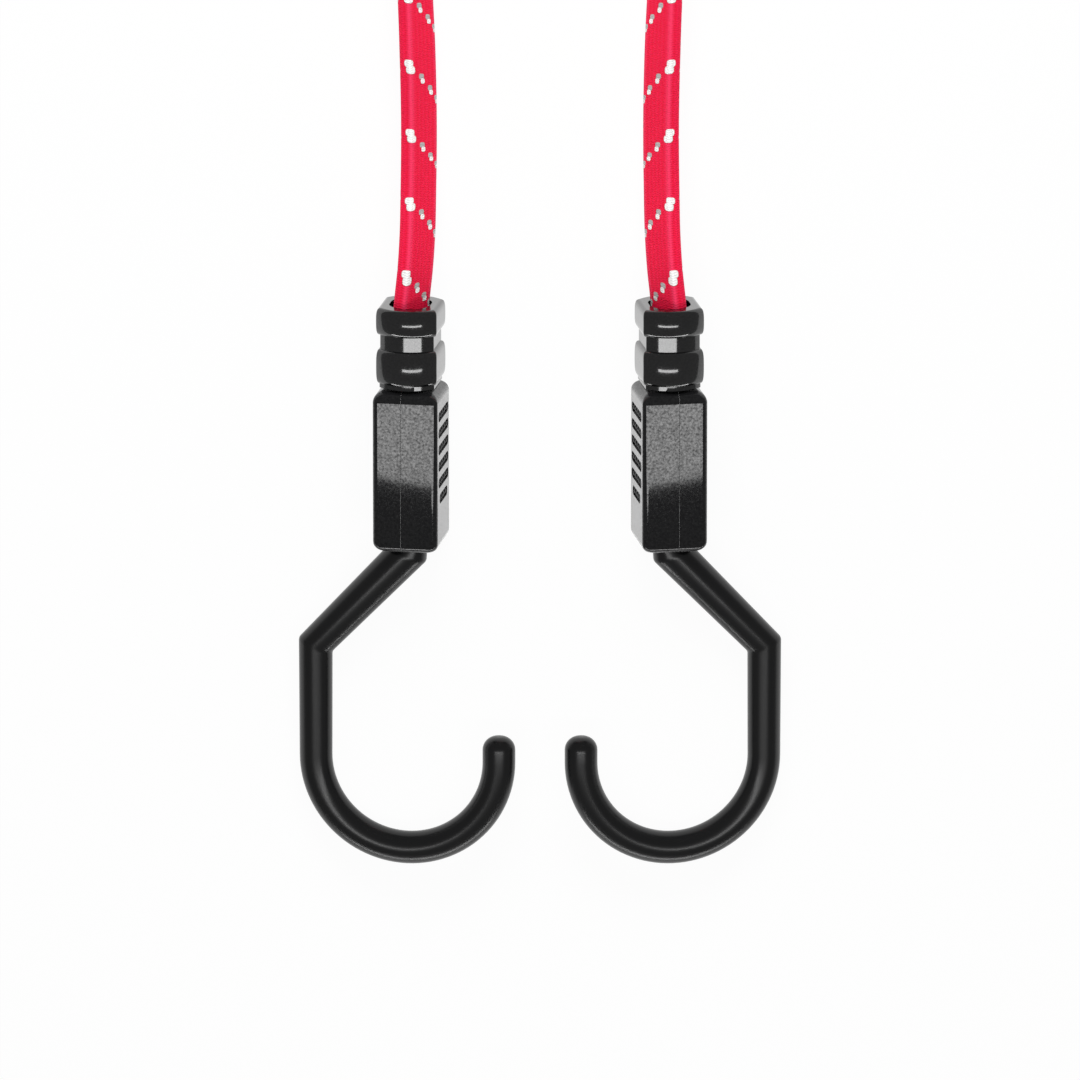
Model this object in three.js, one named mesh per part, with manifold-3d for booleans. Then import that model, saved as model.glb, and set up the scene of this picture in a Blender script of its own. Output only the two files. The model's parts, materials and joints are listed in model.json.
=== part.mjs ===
// A bungee cord: a flat woven elastic strap with a coated steel hook at each end.
//
// Lengths are millimetres, Z is up, and the cord lies on the ground at Z = 0. The two ends point
// along -Y, side by side, and the strap turns back in a U beyond them.
//
// Each end is modelled in a frame of its own: its origin is the middle of the housing's lower face,
// Y runs along the end towards the strap, X towards the hook's tip, and Z towards the viewer.

import * as THREE from 'three';
import { mergeVertices } from 'three/addons/utils/BufferGeometryUtils.js';
import Module from 'manifold-3d';

const wasm = await Module();
wasm.setup();

// Clearances
const gap = 0.3; // between pieces that touch
const overrun = 1; // how far a cutter runs past what it cuts

// Strap
const strapWidth = 10.6;
const strapThickness = 3.8;
const strapCornerRadius = 0.8;
const sheathWall = 0.65;
const strandCount = 3;
const strandCornerRadius = 0.4;

// Housing, the moulded grip in two halves
const housingWidth = 16.6;
const housingDepth = 18.7;
const housingWall = 2;
const housingEdgeRadius = 1.3;
const footRadius = 2.8;
const bodyLength = 38.4; // up to where the shoulder starts
const shoulderHeight = 3.4;
const shoulderInset = 2.35;
const shoulderShares = [[0.3, 0.2], [1, 1]]; // of the shoulder's height and of its inset
const partingOffset = 1; // the split lies on the side away from the hook's tip
const cavityCornerRadius = 1;
const floorThickness = 8.7; // from the foot to the cavity
const bridgeThickness = 3; // stops the crimp
const bridgeSlotPlay = 0.4; // round the strap, on each side
const channelHalfWidth = 4.5; // the way of the strap through the spigot
const channelHalfDepth = 5.75;
const channelCornerRadius = 3.7;
const spigotRadius = 6.4;
const spigotHalfWidth = 5.2;
const spigotHeight = 8.7;
const tongueThickness = 0.8; // the lap joint of the two halves
const tongueReach = 0.9;
const tongueLength = 21;
const tongueStart = 12;

// Grip insert, with its bars in the slots of a side wall
const slotPitch = 4.3;
const slotWidth = 2.5;
const slotLength = 13.7;
const lastSlotLength = 10.7;
const lastSlotHeight = 11.4; // of its middle line, above the foot
const slotCornerRadius = 1.2;
const insertThickness = 1;
const barSink = 1; // below the housing's side face
const beadRadius = 0.9;
const beadSink = 0.3;
const beadPitch = 2.7;

// Collar with two ribs
const collarLength = 20.2;
const lowerRibLength = 9.5;
const neckLength = 3.7;
const ribRadius = 9.8;
const ribCrown = 0.8; // how much lower a rib is at its edges than in its middle
const crownShares = [0.25, 0.5, 0.75]; // of a rib's length
const ribHalfWidth = 7.75;
const neckRadius = 8.25;
const neckHalfWidth = 6.85;
const collarEndRadius = 8.5;
const collarEndHalfWidth = 6.45;
const ribEdgeRadius = 1.3;
const mouthHalfWidth = 5.2;
const mouthHalfDepth = 6.25;
const mouthCornerRadius = 4.8;

// Hook
const hookRadius = 4.15; // outside the coating
const coreRadius = 2.25; // the steel wire
const jacketSeat = 4.7; // how far the coating goes up into the housing
const jacketDrop = 0.35; // how far it comes straight down below the foot
const stubLength = 0.94; // from the foot down to the wire's first bend
const armOut = 24.55;
const armDown = 26;
const armRootShift = 1.1; // of the coating's first arm ring from the wire's bend, towards the shank
const armRootDrop = 1.26;
const armRootShares = [1.205, -0.422, 1.108]; // the ring's reach along X, Y and Z, of the radius
const armFootShares = [1.029, -0.417, 1.012]; // and that of the ring at the arm's foot
const shankLength = 28.76;
const bendRadius = 23.5;
const tipLength = 6.7;
const tipRounding = 3.5;
const coreTipCover = 3.6; // coating beyond the wire's end
const headWidth = 9; // the wire's square head
const headThickness = 3;
const pocketDepth = 2;

// Crimp on the strap's end
const crimpLength = 10;
const crimpWall = 0.9;
const crimpCornerRadius = 2.2;
const crimpPress = 0.4;
const crimpRoom = 0.4; // between the crimp and the housing's front and back walls
const crimpBandShares = [ // of its length, and of how far it is pressed in there
  [0, 0], [0.2, 0], [0.26, 1], [0.4, 1], [0.46, 0], [0.54, 0], [0.6, 1], [0.74, 1], [0.8, 0], [1, 0],
];
const strapEndReach = 0.8; // beyond the crimp

// Where the ends lie
const tipRoom = 6.23; // between each hook's tip and the middle
const roll = THREE.MathUtils.degToRad(9.8); // lifts the side of the hook's tip
const steepestPitch = THREE.MathUtils.degToRad(8);
const strapInset = 2; // of the joint between the strap's inner end and its free run, inside the mouth

// The left half of the strap's free run, from the mouth to the middle of the turn: X, Y, Z and the
// turn of its wide way from the horizontal, in degrees. The right half is its mirror image.
const routeOffset = 32.5; // of the mouth from the middle, in the points below
const strapRoute = [
  [-32.5, 70.65, 12.38, 51],
  [-32.45, 75, 12.55, 51],
  [-31.9, 81.5, 12, 51],
  [-31.2, 90.5, 9.9, 51],
  [-30.75, 101.5, 7.1, 51],
  [-30.55, 116.5, 5.25, 51],
  [-30.75, 136.7, 5.15, 51],
  [-31.3, 150.7, 5.2, 53],
  [-31.55, 155.7, 5.27, 57],
  [-31.7, 160.7, 5.37, 62],
  [-31.85, 165.7, 5.47, 68],
  [-31.9, 170.7, 5.52, 74],
  [-31.8, 175.7, 5.52, 79],
  [-31.6, 180.7, 5.48, 84],
  [-30.15, 190.2, 5.4, 90],
  [-26.3, 199.1, 5.4, 90],
  [-19.4, 206.6, 5.4, 90],
  [-10.25, 211.5, 5.4, 90],
  [0, 213.2, 5.4, 90],
];

// Facets
const cornerSteps = 3;
const innerStrapSteps = 6;
const roundingSteps = 3;
const strapCornerSteps = 2;
const flattedSteps = 7;
const rodSides = 16;
const coreSides = 10;
const bendSteps = 12;
const beadSides = 5;
const beadRings = 4;
const pitchTries = 40;

// Sizes that follow
const housingHalfWidth = housingWidth / 2;
const housingHalfDepth = housingDepth / 2;
const housingTop = bodyLength + shoulderHeight;
const cavityHalfWidth = housingHalfWidth - housingWall;
const crimpHalfDepth = strapWidth / 2 + gap + crimpWall;
const cavityHalfDepth = crimpHalfDepth + crimpRoom;
const bridgeStart = housingTop - shoulderHeight / 2 - bridgeThickness - gap;
const bridgeEnd = bridgeStart + bridgeThickness;
const spigotTop = housingTop + spigotHeight;
const pocketFloor = floorThickness - pocketDepth;
const insertTop = bridgeStart - gap;
const slotCount = Math.floor((insertTop - slotWidth / 2 - lastSlotHeight) / slotPitch) + 1;
const crimpTop = bridgeStart - gap;
const crimpStart = crimpTop - crimpLength;
const strapEndStart = crimpStart - strapEndReach;
const collarStart = housingTop + gap;
const collarTop = collarStart + collarLength;
const strapEndTop = collarTop - strapInset - gap;
const boreHalfWidth = strapThickness / 2 - sheathWall;
const boreHalfDepth = strapWidth / 2 - sheathWall;
const endOffset = (2 * bendRadius - armOut) * Math.cos(roll) + hookRadius + tipRoom;

const up = new THREE.Vector3(0, 0, 1);

// Finishes
const housingFinish = { color: 0x262626, roughness: 0.55, metalness: 0 };
const collarFinish = { color: 0x141414, roughness: 0.25, metalness: 0 };
const insertFinish = { color: 0x101010, roughness: 0.7, metalness: 0 };
const jacketFinish = { color: 0x1c1c1c, roughness: 0.4, metalness: 0 };
const steelFinish = { color: 0x9a9a98, roughness: 0.4, metalness: 1 };
const sheathFinish = { color: 0xf0233f, roughness: 0.8, metalness: 0 };
const rubberFinish = { color: 0xd8c9a6, roughness: 0.9, metalness: 0 };

// Solids

function solid(geometry) {
  const bare = geometry.clone();
  bare.deleteAttribute('normal');
  bare.deleteAttribute('uv');
  const merged = mergeVertices(bare);
  return new wasm.Manifold(new wasm.Mesh({
    numProp: 3,
    vertProperties: Float32Array.from(merged.attributes.position.array),
    triVerts: Uint32Array.from(merged.index.array),
  }));
}

function geometryOf(body) {
  const mesh = body.getMesh();
  const geometry = new THREE.BufferGeometry();
  geometry.setAttribute('position', new THREE.BufferAttribute(mesh.vertProperties, mesh.numProp));
  geometry.setIndex(new THREE.BufferAttribute(mesh.triVerts, 1));
  return geometry;
}

function joined(solids) {
  return solids.reduce((whole, next) => whole.add(next));
}

function cut(body, cutters) {
  return cutters.reduce((rest, cutter) => rest.subtract(cutter), body);
}

// The block between two opposite corners.
function block(low, high) {
  const size = new THREE.Vector3().subVectors(high, low);
  const middle = new THREE.Vector3().addVectors(low, high).multiplyScalar(0.5);
  return solid(new THREE.BoxGeometry(size.x, size.y, size.z).translate(middle.x, middle.y, middle.z));
}

// Outlines, all convex and anticlockwise

function roundedOutline(halfWidth, halfDepth, radius, steps) {
  const points = [];
  const signs = [[1, 1], [-1, 1], [-1, -1], [1, -1]];
  signs.forEach(([wide, deep], corner) => {
    for (let step = 0; step <= steps; step += 1) {
      const angle = (corner + step / steps) * Math.PI / 2;
      points.push(new THREE.Vector2(
        wide * (halfWidth - radius) + radius * Math.cos(angle),
        deep * (halfDepth - radius) + radius * Math.sin(angle),
      ));
    }
  });
  return points;
}

// A circle with a flat on each side.
function flattedOutline(radius, halfWidth) {
  const start = Math.acos(halfWidth / radius);
  const points = [];
  for (const turned of [0, Math.PI]) {
    for (let step = 0; step <= flattedSteps; step += 1) {
      const angle = turned + start + (Math.PI - 2 * start) * step / flattedSteps;
      points.push(new THREE.Vector2(radius * Math.cos(angle), radius * Math.sin(angle)));
    }
  }
  return points;
}

function roundOutline(radius, sides) {
  const points = [];
  for (let side = 0; side < sides; side += 1) {
    const angle = 2 * Math.PI * side / sides;
    points.push(new THREE.Vector2(radius * Math.cos(angle), radius * Math.sin(angle)));
  }
  return points;
}

// A skin over outlines that lie one above another along Y, each as [height, outline].
function lofted(sections) {
  const count = sections[0][1].length;
  const places = sections.flatMap(([at, outline]) => outline.flatMap((p) => [p.x, at, -p.y]));
  const faces = [];
  for (let ring = 0; ring < sections.length - 1; ring += 1) {
    for (let side = 0; side < count; side += 1) {
      const a = ring * count + side;
      const b = ring * count + (side + 1) % count;
      faces.push(a, b, b + count, a, b + count, a + count);
    }
  }
  const top = (sections.length - 1) * count;
  for (let side = 1; side < count - 1; side += 1) {
    faces.push(0, side + 1, side, top, top + side, top + side + 1);
  }
  const geometry = new THREE.BufferGeometry();
  geometry.setAttribute('position', new THREE.Float32BufferAttribute(places, 3));
  geometry.setIndex(faces);
  return solid(geometry);
}

function upright(outline, from, to) {
  return lofted([[from, outline], [to, outline]]);
}

// An outline of Z and Y, extruded along X.
function crosswise(outline, from, to) {
  const run = { depth: to - from, bevelEnabled: false };
  return solid(new THREE.ExtrudeGeometry(new THREE.Shape(outline), run)
    .rotateY(Math.PI / 2)
    .translate(from, 0, 0));
}

// Straight extrusions carried onto a line

// A straight extrusion with one station for each frame that it will be carried to.
function straightRun(outline, stations, bore) {
  const shape = new THREE.Shape(outline);
  if (bore) {
    shape.holes.push(new THREE.Path(bore));
  }
  const steps = stations - 1;
  return new THREE.ExtrudeGeometry(shape, { depth: steps, steps, bevelEnabled: false });
}

// Moves each station of a straight run to its frame: a point and two directions across.
function carried(geometry, frames) {
  const places = geometry.attributes.position;
  const point = new THREE.Vector3();
  for (let i = 0; i < places.count; i += 1) {
    const frame = frames[Math.round(places.getZ(i))];
    point.copy(frame.at)
      .addScaledVector(frame.across, places.getX(i))
      .addScaledVector(frame.along, places.getY(i));
    places.setXYZ(i, point.x, point.y, point.z);
  }
  return geometry;
}

// The frames of a rod bent in the plane Z = 0, mitred where its line turns.
function rodFrames(line, swell = []) {
  return line.map((at, i) => {
    const before = new THREE.Vector3().subVectors(at, line[i - 1] ?? line[i]).normalize();
    const after = new THREE.Vector3().subVectors(line[i + 1] ?? line[i], at).normalize();
    const travel = new THREE.Vector3().addVectors(before, after).normalize();
    const mitre = 1 / Math.max(travel.dot(before), travel.dot(after));
    const size = swell[i] ?? 1;
    const across = new THREE.Vector3().crossVectors(up, travel).multiplyScalar(mitre * size);
    return { at, across, along: up.clone().multiplyScalar(size) };
  });
}

// The strap's frames: across it goes its thickness, and along the second direction its width.
function strapFrame(at, travel, turn, above) {
  const inner = new THREE.Vector3().crossVectors(travel, above).normalize();
  const over = new THREE.Vector3().crossVectors(inner, travel).normalize();
  const face = inner.clone().multiplyScalar(Math.sin(turn)).addScaledVector(over, Math.cos(turn));
  const wide = inner.clone().multiplyScalar(Math.cos(turn)).addScaledVector(over, -Math.sin(turn));
  return { at, across: face, along: wide };
}

function sheathAlong(frames) {
  const outer = roundedOutline(strapThickness / 2, strapWidth / 2, strapCornerRadius, strapCornerSteps);
  const inner = roundedOutline(boreHalfWidth, boreHalfDepth, strapCornerRadius - sheathWall, 1);
  return carried(straightRun(outer, frames.length, inner), frames);
}

// The rubber strands, which lie side by side across the sheath's width, as [name, geometry].
function strandsAlong(frames) {
  const halfThickness = boreHalfWidth - gap;
  const pitch = 2 * (boreHalfDepth - gap / 2) / strandCount;
  const halfWidth = (pitch - gap) / 2;
  return Array.from({ length: strandCount }, (_, i) => {
    const outline = roundedOutline(halfThickness, halfWidth, strandCornerRadius, 1)
      .map((p) => new THREE.Vector2(p.x, p.y + (i - (strandCount - 1) / 2) * pitch));
    return [`strand_${i + 1}`, carried(straightRun(outline, frames.length), frames)];
  });
}

// The pieces of an end

// The hook's middle line, from a height in the housing to where it ends below the tip's end.
function hookLine(top, short) {
  const shankX = -armOut;
  const bendY = -stubLength - armDown - shankLength;
  const line = [
    new THREE.Vector3(0, top, 0),
    new THREE.Vector3(0, -stubLength, 0),
    new THREE.Vector3(shankX, -stubLength - armDown, 0),
  ];
  for (let step = 0; step <= bendSteps; step += 1) {
    const angle = Math.PI * (1 + step / bendSteps);
    line.push(new THREE.Vector3(
      shankX + bendRadius + bendRadius * Math.cos(angle),
      bendY + bendRadius * Math.sin(angle),
      0,
    ));
  }
  line.push(new THREE.Vector3(shankX + 2 * bendRadius, bendY + tipLength - short, 0));
  return line;
}

function roundSkin(frames, radius, sides) {
  return solid(carried(straightRun(roundOutline(radius, sides), frames.length), frames));
}

function rod(line, radius, sides) {
  return roundSkin(rodFrames(line), radius, sides);
}

function ringFrame(at, [wide, fall, deep]) {
  return { at, across: new THREE.Vector3(wide, fall, 0), along: new THREE.Vector3(0, 0, deep) };
}

// The coating follows the wire, but it is thicker in the arm, so its rings there are set by hand.
function hookJacket() {
  const line = hookLine(jacketSeat, tipRounding);
  const armRoot = new THREE.Vector3(-armRootShift, -stubLength - armRootDrop, 0);
  line.splice(1, 1, new THREE.Vector3(0, -jacketDrop, 0), armRoot);
  const swell = line.map(() => 1);
  const last = line[line.length - 1];
  for (let step = 1; step <= roundingSteps; step += 1) {
    const angle = step / roundingSteps * Math.PI / 2;
    line.push(last.clone().setY(last.y + tipRounding * Math.sin(angle)));
    swell.push((hookRadius - tipRounding * (1 - Math.cos(angle))) / hookRadius);
  }
  const frames = rodFrames(line, swell);
  frames[1] = ringFrame(line[1], [1, 0, 1]);
  frames[2] = ringFrame(line[2], armRootShares);
  frames[3] = ringFrame(line[3], armFootShares);
  const bore = hookLine(jacketSeat + overrun, coreTipCover - gap);
  return cut(roundSkin(frames, hookRadius, rodSides), [rod(bore, coreRadius + gap, coreSides)]);
}

function hookCore() {
  const headBase = pocketFloor + gap;
  const head = block(
    new THREE.Vector3(-headWidth / 2, headBase, -headWidth / 2),
    new THREE.Vector3(headWidth / 2, headBase + headThickness, headWidth / 2),
  );
  const wire = rod(hookLine(headBase + headThickness / 2, coreTipCover), coreRadius, coreSides);
  return joined([head, wire]);
}

function housingSection(inset) {
  return roundedOutline(housingHalfWidth - inset, housingHalfDepth - inset, housingEdgeRadius, cornerSteps);
}

// The whole housing, before its halves are split.
function housing() {
  const sections = [];
  for (let step = 0; step <= roundingSteps; step += 1) {
    const angle = step / roundingSteps * Math.PI / 2;
    sections.push([footRadius * (1 - Math.cos(angle)), housingSection(footRadius * (1 - Math.sin(angle)))]);
  }
  sections.push([bodyLength, housingSection(0)]);
  for (const [heightShare, insetShare] of shoulderShares) {
    sections.push([bodyLength + heightShare * shoulderHeight, housingSection(insetShare * shoulderInset)]);
  }
  const spigot = upright(flattedOutline(spigotRadius, spigotHalfWidth), bridgeEnd, spigotTop);
  const pocketHalf = headWidth / 2 + gap;
  const jacketHole = upright(roundOutline(hookRadius + gap, rodSides), -overrun, jacketSeat + gap);
  const wireHole = upright(roundOutline(coreRadius + gap, coreSides), 0, floorThickness);
  const pocket = block(
    new THREE.Vector3(-pocketHalf, pocketFloor, -pocketHalf),
    new THREE.Vector3(pocketHalf, floorThickness + overrun, pocketHalf),
  );
  const cavity = upright(
    roundedOutline(cavityHalfWidth, cavityHalfDepth, cavityCornerRadius, 1),
    floorThickness,
    bridgeStart,
  );
  const bridgeSlot = upright(
    roundedOutline(
      strapThickness / 2 + bridgeSlotPlay,
      strapWidth / 2 + bridgeSlotPlay,
      strapCornerRadius,
      strapCornerSteps,
    ),
    bridgeStart - overrun,
    bridgeEnd + overrun,
  );
  const channel = upright(
    roundedOutline(channelHalfWidth, channelHalfDepth, channelCornerRadius, cornerSteps),
    bridgeEnd,
    spigotTop + overrun,
  );
  return cut(
    joined([lofted(sections), spigot]),
    [jacketHole, wireHole, pocket, cavity, bridgeSlot, channel, ...slots()],
  );
}

// The slots' middle heights and lengths, from the lowest up.
function slotRows() {
  return Array.from({ length: slotCount }, (_, row) => ({
    height: lastSlotHeight + row * slotPitch,
    length: row === 0 ? lastSlotLength : slotLength,
  }));
}

function barOutline(row, shrink) {
  return roundedOutline(
    row.length / 2 - shrink,
    slotWidth / 2 - shrink,
    slotCornerRadius - shrink,
    strapCornerSteps,
  ).map((p) => new THREE.Vector2(p.x, p.y + row.height));
}

function slots() {
  const start = cavityHalfWidth - overrun;
  const end = housingHalfWidth + overrun;
  return slotRows().flatMap((row) => [
    crosswise(barOutline(row, 0), start, end),
    crosswise(barOutline(row, 0), -end, -start),
  ]);
}

function split(body) {
  const far = housingTop + spigotHeight + collarLength;
  const innerFace = -partingOffset + gap / 2;
  const outerFace = -partingOffset - gap / 2;
  const tongueFace = -partingOffset + tongueReach;
  const innerSpace = block(new THREE.Vector3(innerFace, -far, -far), new THREE.Vector3(far, far, far));
  const outerSpace = block(new THREE.Vector3(-far, -far, -far), new THREE.Vector3(outerFace, far, far));
  const tongues = [];
  const rebates = [];
  for (const side of [1, -1]) {
    const edges = [side * cavityHalfDepth, side * (cavityHalfDepth + tongueThickness)];
    const cuts = [side * (cavityHalfDepth - overrun), side * (cavityHalfDepth + tongueThickness + gap)];
    tongues.push(block(
      new THREE.Vector3(outerFace - overrun, tongueStart, Math.min(...edges)),
      new THREE.Vector3(tongueFace, tongueStart + tongueLength, Math.max(...edges)),
    ));
    rebates.push(block(
      new THREE.Vector3(innerFace - overrun, tongueStart - gap, Math.min(...cuts)),
      new THREE.Vector3(tongueFace + gap, tongueStart + tongueLength + gap, Math.max(...cuts)),
    ));
  }
  return {
    inner: cut(body.intersect(innerSpace), rebates),
    outer: joined([body.intersect(outerSpace), ...tongues]),
  };
}

// The soft insert of one side wall: a plate behind the wall, with a beaded bar in each slot.
function gripInsert(side) {
  const plateOuter = cavityHalfWidth - gap;
  const barTop = housingHalfWidth - barSink;
  const plateLow = new THREE.Vector3(
    plateOuter - insertThickness,
    floorThickness + gap,
    -(cavityHalfDepth - cavityCornerRadius),
  );
  const plateHigh = new THREE.Vector3(plateOuter, insertTop, cavityHalfDepth - cavityCornerRadius);
  const parts = [block(plateLow, plateHigh)];
  for (const row of slotRows()) {
    parts.push(crosswise(barOutline(row, gap), plateOuter - insertThickness / 2, barTop));
    const room = row.length - slotWidth;
    const beads = Math.floor(room / beadPitch) + 1;
    for (let bead = 0; bead < beads; bead += 1) {
      const z = (bead - (beads - 1) / 2) * beadPitch;
      parts.push(solid(new THREE.SphereGeometry(beadRadius, beadSides, beadRings)
        .rotateZ(Math.PI / 2)
        .translate(barTop - beadSink, row.height, z)));
    }
  }
  const insert = geometryOf(joined(parts));
  return side > 0 ? insert : mirrored(insert);
}

// One rounded edge of the collar, as sections between two outlines, starting on the outer one.
function roundedEdge(height, direction, outer, inner) {
  const sections = [];
  for (let step = 0; step <= roundingSteps; step += 1) {
    const angle = step / roundingSteps * Math.PI / 2;
    const share = 1 - Math.cos(angle);
    sections.push([
      height - direction * ribEdgeRadius * (1 - Math.sin(angle)),
      flattedOutline(
        THREE.MathUtils.lerp(outer[0], inner[0], share),
        THREE.MathUtils.lerp(outer[1], inner[1], share),
      ),
    ]);
  }
  return sections;
}

// The sections of a rib between its rounded edges, highest in the middle.
function ribCrownSections(start, end) {
  return crownShares.map((share) => {
    const fall = ribCrown * (2 * share - 1) ** 2;
    return [THREE.MathUtils.lerp(start, end, share), flattedOutline(ribRadius - fall, ribHalfWidth)];
  });
}

function collar() {
  const rib = [ribRadius - ribCrown, ribHalfWidth];
  const neck = [neckRadius, neckHalfWidth];
  const end = [collarEndRadius, collarEndHalfWidth];
  const neckStart = collarStart + lowerRibLength;
  const neckEnd = neckStart + neckLength;
  const body = lofted([
    ...roundedEdge(collarStart, -1, rib, end).reverse(),
    ...ribCrownSections(collarStart, neckStart),
    ...roundedEdge(neckStart, 1, rib, neck),
    ...roundedEdge(neckEnd, -1, rib, neck).reverse(),
    ...ribCrownSections(neckEnd, collarTop),
    ...roundedEdge(collarTop, 1, rib, end),
  ]);
  const socket = upright(
    flattedOutline(spigotRadius + gap, spigotHalfWidth + gap),
    collarStart - overrun,
    spigotTop + gap,
  );
  const mouth = upright(
    roundedOutline(mouthHalfWidth, mouthHalfDepth, mouthCornerRadius, cornerSteps),
    spigotTop,
    collarTop + overrun,
  );
  return cut(body, [socket, mouth]);
}

function strapCrimp() {
  const holeHalfWidth = strapThickness / 2 + gap;
  const holeHalfDepth = crimpHalfDepth - crimpWall;
  const sections = crimpBandShares.map(([lengthShare, pressShare]) => [
    crimpStart + lengthShare * crimpLength,
    roundedOutline(
      holeHalfWidth + crimpWall - pressShare * crimpPress,
      crimpHalfDepth - pressShare * crimpPress,
      crimpCornerRadius,
      cornerSteps,
    ),
  ]);
  const hole = upright(
    roundedOutline(holeHalfWidth, holeHalfDepth, strapCornerRadius, strapCornerSteps),
    crimpStart - overrun,
    crimpTop + overrun,
  );
  return cut(lofted(sections), [hole]);
}

// The strap inside an end: square to the housing in the crimp, then turned to meet its free run.
function innerStrapFrames() {
  const deepTurn = Math.PI / 2;
  const mouthTurn = THREE.MathUtils.degToRad(strapRoute[0][3]) + roll;
  const travel = new THREE.Vector3(0, 1, 0);
  const frames = [strapFrame(new THREE.Vector3(0, strapEndStart, 0), travel, deepTurn, up)];
  for (let step = 0; step <= innerStrapSteps; step += 1) {
    const share = step / innerStrapSteps;
    const at = new THREE.Vector3(0, THREE.MathUtils.lerp(bridgeEnd, strapEndTop, share), 0);
    frames.push(strapFrame(at, travel, THREE.MathUtils.lerp(deepTurn, mouthTurn, share), up));
  }
  return frames;
}

// The same piece turned over for the other end, which is its mirror image.
function mirrored(geometry) {
  const bare = geometry.clone();
  bare.deleteAttribute('normal');
  bare.deleteAttribute('uv');
  const other = mergeVertices(bare).scale(-1, 1, 1);
  const corners = other.index.array;
  for (let i = 0; i < corners.length; i += 3) {
    [corners[i], corners[i + 1]] = [corners[i + 1], corners[i]];
  }
  return other;
}

function endPieces() {
  const halves = split(housing());
  const frames = innerStrapFrames();
  return [
    ['housing_inner_half', geometryOf(halves.inner), housingFinish],
    ['housing_outer_half', geometryOf(halves.outer), housingFinish],
    ['collar', geometryOf(collar()), collarFinish],
    ['grip_insert_inner', gripInsert(1), insertFinish],
    ['grip_insert_outer', gripInsert(-1), insertFinish],
    ['hook_jacket', geometryOf(hookJacket()), jacketFinish],
    ['hook_core', geometryOf(hookCore()), steelFinish],
    ['strap_crimp', geometryOf(strapCrimp()), steelFinish],
    ['strap_end_sheath', sheathAlong(frames), sheathFinish],
    ...strandsAlong(frames).map(([name, geometry]) => [`strap_end_${name}`, geometry, rubberFinish]),
  ];
}

// How the ends lie: each rests on its housing's lower outer edge and on its hook's bend.
function restingPitch() {
  const tilt = Math.sin(roll);
  const housingDrop = tilt * (housingHalfWidth - housingEdgeRadius)
    + Math.cos(roll) * (housingHalfDepth - housingEdgeRadius) + housingEdgeRadius;
  const bendY = stubLength + armDown + shankLength;
  const bendX = armOut - bendRadius;
  let low = 0;
  let high = steepestPitch;
  for (let i = 0; i < pitchTries; i += 1) {
    const pitch = (low + high) / 2;
    const housingReach = housingDrop * Math.cos(pitch) - footRadius * Math.sin(pitch);
    const hookReach = bendY * Math.sin(pitch) + bendX * tilt * Math.cos(pitch)
      + bendRadius * Math.hypot(Math.sin(pitch), tilt * Math.cos(pitch)) + hookRadius;
    if (hookReach > housingReach) {
      high = pitch;
    } else {
      low = pitch;
    }
  }
  return high;
}

function piece(name, geometry, finish) {
  const mesh = new THREE.Mesh(geometry, new THREE.MeshStandardMaterial(finish));
  mesh.name = name;
  return mesh;
}

function makeEnds() {
  const pieces = endPieces();
  const pitch = restingPitch();
  const ends = [['left', -1], ['right', 1]].map(([side, sign]) => {
    const end = new THREE.Group();
    for (const [name, geometry, finish] of pieces) {
      const own = sign < 0 ? geometry : mirrored(geometry);
      end.add(piece(`${side}_${name}`, own, finish));
    }
    end.rotation.set(pitch, sign * roll, 0);
    end.position.x = sign * endOffset;
    return end;
  });
  const box = new THREE.Box3();
  for (const end of ends) {
    box.expandByObject(end, true);
  }
  for (const end of ends) {
    end.position.y = -(box.min.y + box.max.y) / 2;
    end.position.z = -box.min.z;
  }
  return ends;
}

// The strap's free run, from one mouth round to the other.
function freeStrapFrames() {
  const spread = endOffset / routeOffset;
  const left = strapRoute.map(([x, y, z, turn]) => [new THREE.Vector3(x * spread, y, z), turn]);
  const right = left.slice(0, -1).reverse()
    .map(([at, turn]) => [at.clone().setX(-at.x), turn]);
  const stations = [...left, ...right];
  const line = new THREE.CatmullRomCurve3(stations.map(([at]) => at));
  return stations.map(([at, turn], i) => strapFrame(
    at,
    line.getTangent(i / (stations.length - 1)),
    THREE.MathUtils.degToRad(turn),
    up,
  ));
}

function makeStrap() {
  const frames = freeStrapFrames();
  const strap = new THREE.Group();
  strap.add(piece('strap_sheath', sheathAlong(frames), sheathFinish));
  for (const [name, geometry] of strandsAlong(frames)) {
    strap.add(piece(`strap_${name}`, geometry, rubberFinish));
  }
  return strap;
}

const cord = new THREE.Group();
cord.add(...makeEnds(), makeStrap());

export default cord;
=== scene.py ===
"""A bungee cord: a flat woven elastic strap with a moulded grip and a coated hook at each end.

The two ends lie side by side on a pale floor, the right one the mirror image of the left one, and
the strap runs away from the viewer and turns back in a U. Each piece of an end is modelled upright
in millimetres, in a bench frame of its own: Z runs up the end from the housing's foot to the strap,
X points at the hook's tip and -Y at the viewer. It is then laid in its place, in metres.
"""

from __future__ import annotations

import json
import logging
import math
from contextlib import contextmanager
from dataclasses import dataclass
from enum import Enum
from typing import Any, Callable, Iterator, Sequence

import bmesh
import bpy
from mathutils import Matrix, Vector

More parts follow.
